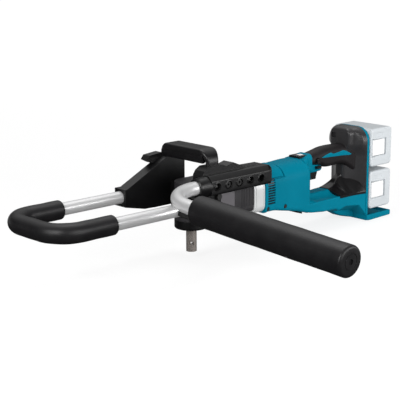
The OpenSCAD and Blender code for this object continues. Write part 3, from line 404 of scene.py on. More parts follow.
def put(name, shells, body, slot, nodes=(), crease=32.0, variant=None):
    """One object made of shells. It rides on a body, takes a slot's finish or a variant of it, and stands
    for the CAD nodes."""
    starts = np.cumsum([0] + [len(part[0]) for part in shells])
    faces = []
    for start, (_, quads, ends) in zip(starts, shells):
        faces += (quads + start).tolist()
        faces += [(end + start).tolist() for end in ends]
    mesh = bpy.data.meshes.new(name)
    mesh.from_pydata((np.concatenate([part[0] for part in shells]) * MM).tolist(), [], faces)
    return dress(name, mesh, body, slot, nodes, crease, variant)


def dress(name, mesh, body, slot, nodes, crease, variant=None):
    """Smooth shading up to the crease angle, a finish, a body to ride on and the nodes it stands for."""
    mesh.shade_smooth()
    mesh.set_sharp_from_angle(angle=np.radians(crease))
    mesh.materials.clear()
    mesh.materials.append(finishes[variant or slot])
    piece = bpy.data.objects.new(name, mesh)
    bpy.context.scene.collection.objects.link(piece)
    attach(piece, body)
    if nodes:
        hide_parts(*nodes)
    print(name, len(mesh.vertices), "points,", len(mesh.polygons), "faces")
    return piece

# %% [markdown]
# ## The front bar and its foam
# On the real tool the front bar is one aluminium tube bent twice into a U, with a foam sleeve pushed over
# the bend. A curve object with a round bevel would do. A circle carried along a path of points says the same
# in numbers, and lets the foam's radius swell and round off at its ends.

# %% Paths and tubes
def bend(centre, radius, start, stop, steps=40):
    """Points of an arc between two angles in degrees."""
    angle = np.radians(np.linspace(start, stop, steps))
    return np.column_stack([centre[0] + radius * np.cos(angle), centre[1] + radius * np.sin(angle)])


def even(path, step):
    """The same path with its points about one step apart."""
    run = np.concatenate([[0.0], np.cumsum(np.linalg.norm(np.diff(path, axis=0), axis=1))])
    marks = np.linspace(0.0, run[-1], int(run[-1] / step) + 1)
    return np.column_stack([np.interp(marks, run, path[:, axis]) for axis in range(path.shape[1])]), marks


def tube(path, normal, radius, columns=56):
    """A circle carried along a flat path: path + radius * (cos a * side + sin a * normal), where side is
    square to the path and to the plane's normal."""
    along = np.gradient(path, axis=0)
    along = along / np.linalg.norm(along, axis=1, keepdims=True)
    side = np.cross(normal, along)
    angle = np.linspace(0.0, 2 * np.pi, columns, endpoint=False)[None, :, None]
    radius = np.broadcast_to(radius, len(path))[:, None, None]
    return path[:, None] + radius * (np.cos(angle) * side[:, None] + np.sin(angle) * np.asarray(normal))


def round_end(run, radius, corner):
    """Radius along a sleeve whose two ends are rounded by a quarter circle of the corner's size."""
    edge = np.minimum(np.minimum(run, run[-1] - run), corner)
    return radius - corner + np.sqrt(corner ** 2 - (corner - edge) ** 2)


low, high = [np.array(corner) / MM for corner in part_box("u_bar_tube")]
U_R = (high[2] - low[2]) / 2
U_Z = (high[2] + low[2]) / 2
U_Y = high[1] - U_R
U_FRONT = low[0] + U_R
U_BEND = 52.0
u_tube_end = high[0]
foam_low, foam_high = [np.array(corner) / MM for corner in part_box("u_bar_foam")]


def u_path(end):
    """The U seen from above: out along one arm, round two bends, and back along the other."""
    far = bend((U_FRONT + U_BEND, U_Y - U_BEND), U_BEND, 90.0, 180.0)
    near = bend((U_FRONT + U_BEND, U_BEND - U_Y), U_BEND, 180.0, 270.0)
    flat = np.concatenate([[[end, U_Y]], far, near, [[end, -U_Y]]])
    return np.column_stack([flat, np.full(len(flat), U_Z)])


u_line, _ = even(u_path(u_tube_end), 3.0)
put("front_bar_tube", [shell(tube(u_line, [0, 0, 1], U_R))], "machine", "satin_tube", ["u_bar_tube"])
foam_line, foam_run = even(u_path(foam_high[0]), 1.2)
foam_r = (foam_high[2] - foam_low[2]) / 2
FOAM_EDGE, FOAM_WAVE = 3.5, 0.25
swell = FOAM_WAVE * np.sin(foam_run / 23.0) * np.sin(foam_run / 9.0) - FOAM_WAVE
foam_shape = tube(foam_line, [0, 0, 1], round_end(foam_run, foam_r, FOAM_EDGE) + swell, 72)
front_foam = put("front_bar_foam", [shell(foam_shape)], "machine", "foam", ["u_bar_foam"])

# %% [markdown]
# ## The reaction bar
# A second tube leaves the clamp, turns square to the body and ends in a thick foam grip that the user
# braces against. It droops a few degrees, so its plane is tilted. Work the path out flat, then turn it about
# the X axis.

# %% Reaction bar tube and grip
BAR_Y, BAR_Z, BAR_R = -62.0, 149.0, 14.0
BAR_INNER, BAR_REACH, BAR_BEND = 97.0, -146.5, 98.0
GRIP_START, GRIP_LEN, GRIP_R, PLUG_LEN = 118.0, 367.0, 28.75, 14.0
droop = np.radians(3.5)


def tilt(flat):
    """Flat points (x, y) turned about the clamp's own axis by the droop."""
    x, y = flat.T
    return np.column_stack([x, BAR_Y + y * np.cos(droop), BAR_Z + y * np.sin(droop)])


bar_normal = np.array([0.0, -np.sin(droop), np.cos(droop)])
bar_flat = np.concatenate([
    [[BAR_INNER, 0.0]], bend((BAR_REACH + BAR_BEND, -BAR_BEND), BAR_BEND, 90.0, 180.0),
    [[BAR_REACH, PLUG_LEN - GRIP_START - GRIP_LEN]]])
bar_line, _ = even(tilt(bar_flat), 3.0)
put("reaction_bar_pipe", [shell(tube(bar_line, bar_normal, BAR_R))], "machine", "satin_tube",
    ["reaction_bar_tube"])

START_EDGE, FACE_EDGE, GRIP_WAVE = 3.0, 6.0, 0.2
grip_run = np.concatenate([
    np.linspace(0.0, 6.0, 10), np.linspace(8.0, GRIP_LEN - 10.0, 260),
    np.linspace(GRIP_LEN - 9.0, GRIP_LEN, 24)])
start_run = START_EDGE - np.minimum(grip_run, START_EDGE)
grip_r = GRIP_R - START_EDGE + np.sqrt(START_EDGE ** 2 - start_run ** 2)
end_run = np.clip(grip_run - GRIP_LEN + FACE_EDGE, 0.0, 0.999 * FACE_EDGE)
grip_r = grip_r - FACE_EDGE + np.sqrt(FACE_EDGE ** 2 - end_run ** 2)
grip_r = grip_r + GRIP_WAVE * np.sin(grip_run / 31.0) * np.sin(grip_run / 12.0) - GRIP_WAVE
face_r = np.array([15.5, 15.0, 14.2, 13.8, 5.1, 5.0])
face_run = GRIP_LEN - np.array([0.0, 0.8, 0.8, 0.0, 0.0, 4.0])
grip_r = np.concatenate([grip_r, face_r])
grip_run = np.concatenate([grip_run, face_run])
grip_line = tilt(np.column_stack([np.full(len(grip_run), BAR_REACH), -GRIP_START - grip_run]))
grip_angle = np.linspace(0.0, 2 * np.pi, 80, endpoint=False)[None, :, None]
grip_points = grip_line[:, None] + grip_r[:, None, None] * (
    np.cos(grip_angle) * np.array([1.0, 0.0, 0.0]) + np.sin(grip_angle) * bar_normal)
side_grip = put("reaction_bar_foam", [shell(grip_points)], "machine", "foam", ["reaction_bar_grip"])

# %% [markdown]
# ## Castings with soft edges
# Brackets, clamp and gear case keep the CAD shape: it is right, but its edges are knife sharp, and real
# castings never are. Copy the mesh, merge its loose triangles into flat faces, and let a Bevel modifier
# round the corners so that they catch a line of light.

# %% Softened copies of CAD nodes
SHARP_ANGLE, BEVEL_STEPS = 28.0, 3


def softened(node, width):
    """A merged copy of a CAD node with its sharp edges rounded to the width in millimetres."""
    mesh = frame["nodes"][node].data.copy()
    solid = bmesh.new()
    solid.from_mesh(mesh)
    bmesh.ops.remove_doubles(solid, verts=solid.verts, dist=0.00002)
    bmesh.ops.dissolve_limit(solid, angle_limit=np.radians(0.6), verts=solid.verts, edges=solid.edges)
    solid.to_mesh(mesh)
    solid.free()
    piece = dress(node + "_soft", mesh, "machine", slot_of[node], [node], SHARP_ANGLE)
    bevel = piece.modifiers.new("soft edges", "BEVEL")
    bevel.width = width * MM
    bevel.segments = BEVEL_STEPS
    bevel.limit_method = "ANGLE"
    bevel.angle_limit = np.radians(SHARP_ANGLE)
    bevel.harden_normals = True


for casting, width in [
        ("near_bracket", 2.2), ("far_bracket", 2.5), ("saddle", 2.0), ("bar_clamp", 1.8),
        ("head_flange", 2.0), ("gear_case", 2.0), ("battery_plate", 1.5), ("indicator_panel", 1.0)]:
    softened(casting, width)

# %% [markdown]
# ## Lines, steps and rounded sections
# The motor housing is a long moulding whose cross section changes slowly along its length. Sculpting could
# reach it, but a loft says it in a few numbers: rounded rectangles at many stations, with lines for top,
# bottom and side. Small reliefs such as vents and raised panels are then heights added along the surface's
# own direction.

# %% Shaping functions
def smooth(low, high, value):
    """0 below low, 1 above high, and an S-shaped step between them."""
    t = np.clip((value - low) / (high - low), 0.0, 1.0)
    return t * t * (3 - 2 * t)


def pad(low, high, soft, value):
    """1 between low and high, easing to 0 over the soft distance outside."""
    return smooth(low - soft, low, value) * (1 - smooth(high, high + soft, value))


def line(knots, value, soft=0.0):
    """A broken line through (place, height) knots, averaged over the soft distance on each side."""
    place, height = np.array(knots, float).T
    shifts = np.linspace(-soft, soft, 9)
    return np.mean([np.interp(value + shift, place, height) for shift in shifts], axis=0)


def dome(radius, distance):
    """How far a rounded edge has dropped, where distance counts from its start to its radius."""
    reach = np.clip(distance, 0.0, 0.995 * radius)
    return radius - np.sqrt(radius ** 2 - reach ** 2)


def rounded_section(left, right, low, high, radii, runs=(12, 12, 12, 12), arcs=(10, 10, 10, 10)):
    """Rounded rectangles, one for each station: four arcs joined by straight runs, from the left and low
    corner round by the bottom. Gives across, height and the outward direction, as stations by points."""
    stations = np.broadcast_arrays(*[np.atleast_1d(value) for value in (left, right, low, high, *radii)])
    left, right, low, high, a, b, c, d = [np.array(value, float)[:, None] for value in stations]
    centres = [
        (left + a, low + a, a), (right - b, low + b, b), (right - c, high - c, c), (left + d, high - d, d)]
    parts = []
    for side in range(4):
        y, z, r = centres[side]
        next_y, next_z, next_r = centres[(side + 1) % 4]
        angle = np.pi + np.pi / 2 * side + np.linspace(0.0, np.pi / 2, arcs[side])[None]
        turned = np.cos(angle) + 0 * y, np.sin(angle) + 0 * y
        parts.append((y + r * turned[0], z + r * turned[1], *turned))
        out_y, out_z = np.round([np.cos(angle[0, -1]), np.sin(angle[0, -1])])
        t = np.linspace(0.0, 1.0, runs[side] + 2)[None, 1:-1]
        parts.append(((y + r * out_y) * (1 - t) + (next_y + next_r * out_y) * t,
                      (z + r * out_z) * (1 - t) + (next_z + next_r * out_z) * t,
                      out_y + 0 * t + 0 * y, out_z + 0 * t + 0 * y))
    return [np.concatenate(values, axis=1) for values in zip(*parts)]


def loft_x(x, y, z):
    """Points of a loft along X."""
    return np.stack([np.broadcast_to(x, y.shape), y, z], axis=-1)


def loft_y(x, y, z):
    """Points of a loft along Y, with one place for each station."""
    return np.stack([x, np.broadcast_to(y[:, None], x.shape), z], axis=-1)


def far_side(points):
    """The mirrored half on the far side."""
    return points * np.array([1.0, -1.0, 1.0])


print("a rounded section has", rounded_section(-1, 1, -1, 1, (0.2, 0.2, 0.2, 0.2))[0].shape[1], "points")

# %% [markdown]
# ## Motor barrel
# Two halves meet at a fine parting line along the middle. Each half carries a front band, a raised
# shoulder panel with a groove under it, a column of cooling slots and wells for its screws. The slots are
# steps in one height formula: the remainder of the height by the pitch says how far a point is from the
# middle of its own row. A black sheet set in behind them closes the view: it stands for the dark parts
# inside, and is painted shade for the dark that falls into the slots.

# %% Barrel halves
x = np.concatenate([
    np.linspace(173.0, 175.0, 5), np.linspace(175.6, 243.0, 124), np.linspace(244.5, 308.0, 42),
    np.linspace(309.0, 322.0, 18)])[:, None]
barrel_top = line([(173, 146), (235, 150), (280, 152.5), (322, 152.5)], x, 9.0)
barrel_low = line([(173, 57), (205, 57), (283, 42), (322, 30)], x, 9.0)
barrel_side = 45.0 - dome(12.0, x - 310.0)
CROWN, KEEL, PART = 36.0, 9.0, 0.4
SCREWS = [(182.0, 65.0), (236.0, 62.0)]
SLOT_LOW, SLOT_HIGH, SLOT_PITCH, SCREEN_INSET = 73.0, 125.5, 5.5, 2.4


def barrel_half(inset):
    """Half of the barrel's section, set in by a distance."""
    return rounded_section(
        (inset - barrel_side)[:, 0], -PART / 2, (barrel_low + inset)[:, 0], (barrel_top - inset)[:, 0],
        (KEEL - inset, PART, PART, CROWN - inset), runs=(14, 4, 8, 64), arcs=(22, 3, 3, 92))


y, z, out_y, out_z = barrel_half(0.0)
row = np.abs((z - SLOT_LOW) % SLOT_PITCH - SLOT_PITCH / 2)
slots = pad(182.6, 203.8, 0.5, x) * (1 - smooth(1.45, 1.75, row))
slots = slots * pad(SLOT_LOW, SLOT_HIGH, 0.2, z) * (out_y < -0.2)
band = 1.0 - smooth(179.8, 181.2, x)
shoulder = pad(182.0, 231.0, 0.8, x) * smooth(129.2, 130.0, z)
groove = pad(182.0, 235.0, 0.8, x) * smooth(126.2, 127.0, z) - shoulder
rim = dome(1.6, 174.6 - x)
screw_gap = [np.hypot(x - place, z - height) for place, height in SCREWS]
wells = (1 - smooth(4.3, 5.0, np.minimum(*screw_gap))) * (out_y < -0.9)
raised = 1.1 * band + (1.6 * shoulder - 2.6 * groove) * (1 - band)
relief = raised - 3.6 * slots - 3.0 * wells - rim
near_barrel = loft_x(x, y + out_y * relief, z + out_z * relief)
# The black sheet behind the slots stands for the dark parts inside and is painted shade in the slots.
screen_rows = (x[:, 0] > 180.5) & (x[:, 0] < 206.5)
y, z, _, _ = barrel_half(SCREEN_INSET)
screen = loft_x(x, y, z)[screen_rows]
for side, half_points, screen_points in [
        ("left", near_barrel, screen), ("right", far_side(near_barrel), far_side(screen))]:
    put(f"barrel_{side}", [shell(half_points)], "machine", "teal_plastic", [f"housing_{side}"])
    put(f"vent_shade_sheet_{side}", [shell(screen_points)], "machine", "black_plastic", [f"housing_{side}"])

# %% [markdown]
# ## Arm and foot
# Below the grip an arm runs back to the battery plate. Its side is flat up to a ridge, and above the ridge
# the moulding is scooped in towards a narrow crest. A quadratic Bezier curve gives the scoop: one middle
# handle pulls the curve in. Towards the foot the arm deepens and flares out, and below a slanting edge its
# side slopes in towards the middle.

# %% Arm halves
def bezier(start, handle, stop, count):
    """A quadratic Bezier curve without its last point. Each of its points is (across, height), fixed or one
    for each station."""
    t = np.linspace(0.0, 1.0, count + 1)[None, :-1]
    return [(1 - t) ** 2 * a + 2 * t * (1 - t) * b + t ** 2 * c for a, b, c in zip(start, handle, stop)]


def straight(start, stop, count):
    """A straight run, as a Bezier curve whose handle is its middle."""
    middle = [(a + b) / 2 for a, b in zip(start, stop)]
    return bezier(start, middle, stop, count)


def joined(parts, stations):
    """Runs and curves end to end, as across and height at every station."""
    return [np.concatenate([np.broadcast_to(part[axis], (stations, part[axis].shape[1])) for part in parts],
                           axis=1) for axis in (0, 1)]


x = np.linspace(300.0, 500.0, 126)[:, None]
arm_side = line([(300, 44.4), (312, 45.2), (400, 45), (450, 45), (482, 48.5), (500, 52.5)], x, 6.0)
arm_low = line(
    [(300, 37), (324, 31.4), (365, 26.6), (408, 25.5), (429, 11.5), (459, -4), (500, -14)], x, 4.0)
RIDGE, CREST_Z, CREST_Y = 53.6, 67.0, 13.0
full = 1 - smooth(314.0, 352.0, x)
profile = [
    straight((-PART / 2, arm_low), (8.0 - arm_side, arm_low), 10),
    bezier((8.0 - arm_side, arm_low), (-arm_side, arm_low), (-arm_side, arm_low + 8.0), 10),
    straight((-arm_side, arm_low + 8.0), (-arm_side, RIDGE - 2.0), 44),
    bezier((-arm_side, RIDGE - 2.0), (-arm_side, RIDGE + 0.3), (2.5 - arm_side, RIDGE + 0.6), 6),
    bezier((2.5 - arm_side, RIDGE + 0.6), (-24.0 - 14.0 * full, RIDGE - 0.5 + 12.0 * full),
           (-CREST_Y - 3.0, CREST_Z - 3.0), 26),
    bezier((-CREST_Y - 3.0, CREST_Z - 3.0), (-CREST_Y, CREST_Z), (3.0 - CREST_Y, CREST_Z), 8),
    straight((3.0 - CREST_Y, CREST_Z), (-PART / 2, CREST_Z), 5),
    straight((-PART / 2, CREST_Z), (-PART / 2, arm_low), 12)]
y, z = joined(profile, len(x))
pocket_right = 482.0 + 0.72 * (24.5 - z)
pocket_top = line([(416, 23), (439, 28.8), (483, 24.5), (500, 23)], x)
pocket = smooth(412.0, 424.0, x) * smooth(0.0, 2.5, pocket_right - x)
slope = np.clip(2.0 * (pocket_top - z), 0.0, 36.0)
near_arm = loft_x(x, y + slope * pocket * smooth(6.0, 45.0, -y), z)
for side, half_points in [("left", near_arm), ("right", far_side(near_arm))]:
    put(f"arm_{side}", [shell(half_points)], "machine", "teal_plastic", [f"housing_{side}"])

# %% [markdown]
# ## Neck, tongue and grip
# The grip is a stiff core under a soft overmould. The housing's neck rises into it, and a short tongue of
# hard plastic stays bare above the trigger. The overmould's front edge leans, so its stations are sheared:
# the first station follows the leaning line, and the shear fades towards the back.

# %% Neck and tongue
x = np.concatenate([np.linspace(312.0, 344.0, 33), np.linspace(344.4, 350.0, 15)])[:, None]
neck_end = dome(5.0, x - 345.0)
neck_side = line([(312, 34), (322, 30), (334, 23), (350, 21.4)], x, 4.0) - neck_end
neck_top = line([(312, 150.5), (322, 153), (336, 157.5), (350, 159.5)], x, 3.0) - neck_end
y, z, _, _ = rounded_section(
    -neck_side[:, 0], -PART / 2, 118.0, neck_top[:, 0], (6.0, PART, PART, 11.0), runs=(4, 4, 5, 16),
    arcs=(8, 3, 3, 16))
near_neck = loft_x(x, y, z)
x = np.concatenate([np.linspace(316.0, 375.0, 31), np.linspace(375.5, 385.0, 20)])[:, None]
tip = dome(7.0, x - 378.0)
tongue_side = 18.4 - 0.6 * tip
tongue_low = line([(316, 114.5), (370, 114.8), (385, 116)], x, 3.0) + 0.5 * tip
tongue_top = line([(316, 134), (350, 133.5), (385, 127.5)], x, 3.0) - 0.3 * tip
y, z, _, _ = rounded_section(
    -tongue_side[:, 0], -PART / 2, tongue_low[:, 0], tongue_top[:, 0], (4.0, PART, PART, 3.0),
    runs=(6, 4, 6, 8), arcs=(8, 3, 3, 8))
near_tongue = loft_x(x, y, z)
for side, grids in [
        ("left", [near_neck, near_tongue]), ("right", [far_side(near_neck), far_side(near_tongue)])]:
    put(f"neck_{side}", [shell(points) for points in grids], "machine", "teal_plastic", [f"housing_{side}"])

# %% Overmould and inlays
GRIP_TOP = [
    (322, 153.5), (345, 156), (372, 161), (397, 166), (420, 166.8), (445, 166), (466, 165), (484, 167)]
GRIP_LOW = [
    (322, 131), (345, 131.5), (382, 127), (396, 121), (412, 119.5), (440, 121), (458, 120), (470, 114.5),
    (484, 100)]
GRIP_SIDE = [(322, 20.0), (350, 20.2), (380, 19.6), (430, 20), (458, 20.5), (470, 23), (484, 32)]


def grip_lines(place):
    """Half width, bottom and top of the grip at a place along X."""
    return line(GRIP_SIDE, place, 5.0), line(GRIP_LOW, place, 5.0), line(GRIP_TOP, place, 7.0)


x = np.linspace(343.0, 484.0, 110)[:, None]
grip_side, grip_low, grip_top = grip_lines(x)
CROWN_R, BELLY_R = 17.0, 11.0
y, z, out_y, out_z = rounded_section(
    -grip_side[:, 0], grip_side[:, 0], grip_low[:, 0], grip_top[:, 0], (BELLY_R, BELLY_R, CROWN_R, CROWN_R),
    runs=(8, 14, 6, 14), arcs=(14, 14, 18, 18))
lean = 0.25 * np.clip(150.0 - z, 0.0, None) * (1 - smooth(343.0, 380.0, x))
x = x + lean
lip = -dome(1.5, 344.6 - x)
lock_low, lock_high = [np.array(corner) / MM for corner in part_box("lock_off_button")]
lock_x, _, lock_z = (lock_low + lock_high) / 2
lock_r = (lock_high[0] - lock_low[0]) / 2
well = 1 - smooth(lock_r + 0.8, lock_r + 1.4, np.hypot(x - lock_x, z - lock_z))
lip = lip - 2.5 * well
put("grip_cover", [shell(loft_x(x, y + out_y * lip, z + out_z * lip))], "machine", "soft_cover",
    ["handle_overmould"])
print("button at", round(lock_x, 1), round(lock_z, 1), "radius", round(lock_r, 1))

INLAY_FRONT, INLAY_BACK = 382.0, 476.0
x = np.linspace(INLAY_FRONT, INLAY_BACK, 70)[:, None]
across = np.linspace(0.0, 1.0, 15)[None]
inlay_low = line([(382, 145.0), (392, 143.8), (447, 141.2), (470, 139.8), (476, 141.5)], x)
inlay_top = line([(382, 146.0), (396, 150.2), (411, 153.6), (421, 149.6), (440, 151.2), (453, 153.6),
                  (464, 150.4), (476, 143.0)], x, 1.2)
z = inlay_low + (inlay_top - inlay_low) * across
side_y, _, top_z = grip_lines(x)
surface_y = side_y - dome(CROWN_R, z - (top_z - CROWN_R))
edge = np.minimum(
    np.minimum(across, 1 - across) * 8.0, np.minimum(x - INLAY_FRONT, INLAY_BACK - x) * 0.4)
raised = 0.9 * np.clip(edge, 0.0, 1.0) ** 0.5 - 0.25
outer = loft_x(x, -surface_y - raised, z)
inner = loft_x(x, -surface_y + 2.0, z)
inlay = np.concatenate([outer, inner[:, ::-1]], axis=1)
put("grip_inlay_pair", [shell(inlay), shell(far_side(inlay))], "machine", "teal_plastic", ["grip_inlays"])

# %% [markdown]
# ## Tower and boot
# The black cover behind the grip is broad above and waisted below, so that the hand has room. Seen from
# above, its outline is a half width for each depth. The broad outline and the waisted one are two such
# functions, and a smooth step in height blends them. A boot at its foot sits astride the arm, with flanks
# that are hollow in front and full at the back.

# %% Tower
z = np.concatenate([
    np.linspace(52.0, 168.0, 100), np.linspace(169.0, 199.0, 50), np.linspace(199.6, 203.0, 14)])[:, None]
TOWER_SIDE, TOWER_BACK, TOP_R, WAIST = 53.0, 500.0, 34.0, 11.5
reach = np.clip(z - 169.5, 0.0, 0.998 * TOP_R)
tower_half = TOWER_SIDE - TOP_R + np.sqrt(TOP_R ** 2 - reach ** 2)
tower_front = 464.0 + dome(12.0, z - 191.5)
depth = (np.linspace(1.0, 0.0, 60) ** 1.5)[None]
room = TOWER_BACK - tower_front
front_half = np.minimum(29.5 - dome(17.0, z - 185.5), tower_half - 6.0)
front_edge = dome(5.0, 5.0 - depth * room)
broad_flare = 0.15 * depth + 0.85 * smooth(0.25, 0.7, depth)
broad = front_half + (tower_half - front_half) * broad_flare - front_edge
waist_flare = 0.6 * depth + 0.4 * depth ** 3
waist = WAIST + (tower_half - WAIST) * waist_flare - front_edge
blend = smooth(136.0, 166.0, z)
flank = broad * blend + waist * (1 - blend)
face = np.linspace(1.0, 0.0, 60)[None, 1:-1]
front_y = flank[:, -1:] * face
half_y = -np.concatenate([flank, front_y], axis=1)
half_x = np.concatenate([TOWER_BACK - (1 - depth) * room, tower_front + 0 * front_y], axis=1)
y = np.concatenate([half_y, -half_y[:, ::-1]], axis=1)
x = np.concatenate([half_x, half_x[:, ::-1]], axis=1)
on_front = np.abs(x - tower_front) < 1.0
recess = pad(12.0, 25.0, 0.8, y) * pad(178.0, 188.0, 0.8, z) * on_front
x = x + 6.0 * recess
tower = np.stack([x, y, np.broadcast_to(z, y.shape)], axis=-1)
# The tower takes the lighter copy of black plastic: painted light for how its faces are lit.
put("tower", [shell(tower)], "machine", "black_plastic", ["rear_cover"], 40.0, "tower_black_painted_lighter")

# %% Boot
x = np.linspace(413.0, 500.0, 80)[:, None]
boot_side = line([(413, 45.8), (460, 46.4), (482, 49.4), (500, 53.2)], x, 6.0)
boot_top = line([(413, 68.5), (428, 71), (441, 75.5), (446, 85), (453, 89), (461, 92), (468, 96),
                 (476, 101), (500, 101)], x, 1.8)
boot_crest = line([(413, 14), (430, 11), (442, 7.5), (500, 8.5)], x, 3.0)
boot_brow = np.minimum(boot_top - 3.0, 88.0)
bulge = smooth(458.0, 496.0, x)
brow_y = -boot_crest - 1.0 - 7.0 * bulge
flank_y = (14.0 - boot_side) * bulge - (boot_crest + 10.0) * (1 - bulge)
flank_z = (boot_brow - 2.0) * bulge + 0.5 * (60.5 + boot_top) * (1 - bulge)
BOOT_LOW, LIP = 49.5, 55.0
profile = [
    straight((-0.5, BOOT_LOW), (1.0 - boot_side, BOOT_LOW), 8),
    bezier((1.0 - boot_side, BOOT_LOW), (-boot_side, BOOT_LOW), (-boot_side, BOOT_LOW + 1.5), 5),
    straight((-boot_side, BOOT_LOW + 1.5), (-boot_side, LIP), 6),
    bezier((-boot_side, LIP), (flank_y, flank_z), (brow_y, boot_brow), 34),
    bezier((brow_y, boot_brow), (0.3 * brow_y - 0.7 * boot_crest, boot_brow),
           (1.0 - boot_crest, boot_top), 12),
    straight((1.0 - boot_crest, boot_top), (-0.5, boot_top), 6)]
half_y, half_z = joined(profile, len(x))
y = np.concatenate([half_y, -half_y[:, ::-1]], axis=1)
z = np.concatenate([half_z, half_z[:, ::-1]], axis=1)
swept = 5.0 * smooth(14.0, 45.0, np.abs(y)) * (1 - smooth(413.0, 450.0, x))
boot = loft_x(x + swept, y, z)
put("boot", [shell(boot)], "machine", "black_plastic", ["rear_cover"], 40.0)

# %% [markdown]
# ## Guard and packs
# The guard under the packs is a tray with a raised rim. Each pack is a rounded box, made as a loft whose
# last stations shrink to close its ends. A recess in its near end holds the latch plate, a piece of its own
# on the latch's body, with room in the recess for its slide.

# %% Guard tray
x = np.concatenate([
    np.linspace(500.0, 503.0, 6), np.linspace(504.0, 585.0, 70), np.linspace(585.4, 588.0, 9)])[:, None]
guard_end = dome(3.0, x - 585.0)
guard_low = line([(500, -14), (511, -16), (588, -14.5)], x, 2.0) + guard_end
guard_top = -2.0 - guard_end
guard_side = 57.0 - guard_end
y, z, _, out_z = rounded_section(
    -guard_side[:, 0], guard_side[:, 0], guard_low[:, 0], guard_top[:, 0], (3.0, 3.0, 2.0, 2.0),
    runs=(20, 4, 90, 4), arcs=[6] * 4)
tray = pad(513.0, 581.0, 2.0, x) * pad(-51.0, 51.0, 2.0, y) * (out_z > 0.9)
put("guard_tray", [shell(loft_x(x, y, z - 5.5 * tray))], "machine", "teal_plastic", ["battery_guard"])

# %% Packs
LATCH_X, LATCH_SLIDE = (514.5, 557.0), 5.0
PACK_FRONT, PACK_BACK, PACK_HALF, PACK_EDGE = 509.5, 585.0, 57.0, 5.0


def pack_points(low_z, high_z):
    """A rounded box along Y. At each end the section shrinks in rings to close the face."""
    turn = np.linspace(0.0, np.pi / 2, 9)
    edge_y = PACK_EDGE * (1 - np.sin(turn)) - PACK_HALF
    edge_in = PACK_EDGE * (1 - np.cos(turn))
    rings = np.linspace(0.0, 32.0, 60)[1:]
    near_y = np.concatenate([np.full(len(rings), -PACK_HALF), edge_y[::-1]])
    near_in = np.concatenate([(PACK_EDGE + rings)[::-1], edge_in[::-1]])
    along = np.concatenate([near_y, np.linspace(-50.0, 50.0, 12), -near_y[::-1]])
    inset = np.concatenate([near_in, np.zeros(12), near_in[::-1]])
    corner = np.maximum(9.0 - inset, 0.6)
    px, pz, _, _ = rounded_section(
        PACK_FRONT + inset * 0.98, PACK_BACK - inset, low_z + inset, high_z - inset,
        [corner] * 4, runs=[40] * 4, arcs=[8] * 4)
    py = np.broadcast_to(along[:, None], px.shape).copy()
    near = py < -45.0
    middle_z = (low_z + high_z) / 2
    window = pad(LATCH_X[0] - 1.2, LATCH_X[1] + LATCH_SLIDE + 1.2, 0.3, px)
    window = window * pad(middle_z - 19.6, middle_z + 19.6, 0.3, pz)
    notch = pad(524.0, 551.0, 1.2, px) * pad(middle_z + 25.0, middle_z + 33.0, 1.2, pz)
    py = py + near * (4.2 * window + 1.2 * notch)
    return np.stack([px, py, pz], axis=-1)


for level in ("upper", "lower"):
    box_low, box_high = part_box(f"pack_{level}")
    put(f"pack_{level}_shell", [shell(pack_points(box_low[2] / MM, box_high[2] / MM))], f"pack_{level}",
        "pack_shell", [f"pack_{level}"])
    latch_low, latch_high = [np.array(corner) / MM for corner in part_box(f"latch_{level}")]
    plate_in = np.array([0.0, 0.0, 0.3, 1.0, 10.0])
    px, pz, _, _ = rounded_section(
        LATCH_X[0] + plate_in, LATCH_X[1] - plate_in, latch_low[2] + plate_in, latch_high[2] - plate_in,
        [2.0] * 4, runs=(16, 14, 16, 14), arcs=[6] * 4)
    plate_face = latch_low[1] + np.array([0.8, 0.2, 0.0, 0.0])
    plate_y = np.concatenate([[latch_high[1]], plate_face])
    put(f"latch_{level}_plate", [shell(loft_y(px, plate_y, pz))], f"latch_{level}",
        slot_of[f"latch_{level}"], [f"latch_{level}"])

# %% [markdown]
# ## Carry handle
# A broad bar crosses the head. Its far end curls down, and its near end bends down into a leg. A rounded
# rectangle is carried along the path, and it narrows where the bar becomes the leg. A skirt under the front
# edge stiffens the bar.

# %% Handle bar and skirt
route, run = even(np.concatenate([
    bend((66.0, 203.0), 9.0, 0.0, 90.0), bend((-30.0, 191.0), 21.0, 90.0, 180.0), [[-51.0, 184.0]]]), 1.5)
heading = np.gradient(route, axis=0)
heading = heading / np.linalg.norm(heading, axis=1, keepdims=True)
leg_part = smooth(110.0, 142.0, run)
middle_x = 11.5 - 2.0 * leg_part
half_x = 21.7 - 6.0 * leg_part
px, pt, _, _ = rounded_section(
    middle_x - half_x, middle_x + half_x, 5.0 * leg_part - 7.0, 7.0, (2.0, 2.0, 5.5, 5.5),
    runs=(12, 4, 12, 4), arcs=(8, 8, 12, 12))
out = np.column_stack([heading[:, 1], -heading[:, 0]])
across_yz = route[:, None] + pt[..., None] * out[:, None]
bar = np.concatenate([px[..., None], across_yz], axis=-1)
y = np.concatenate([np.linspace(-43.5, -36.0, 14), np.linspace(-34.0, 64.0, 40)])
px, pz, _, _ = rounded_section(
    np.full(len(y), -10.0), -1.5, 190.5 + dome(3.0, -40.5 - y), 209.0, (3.0, 2.0, 0.5, 4.5),
    runs=(4, 8, 3, 8), arcs=(8, 6, 3, 8))
skirt = loft_y(px, y, pz)
skirt[..., 1] -= 0.12 * (205.0 - pz) * (y[:, None] < -33.0)
put("carry_bar", [shell(bar), shell(skirt)], "machine", "black_plastic", ["carry_handle"], 40.0)

# %% [markdown]
# ## Gear case details
# A bare plate sits on the near cheek of the gear case, grooves run round its back end, and a bright ring
# joins it to the housing. Each is a short loft, and a height formula cuts the grooves.

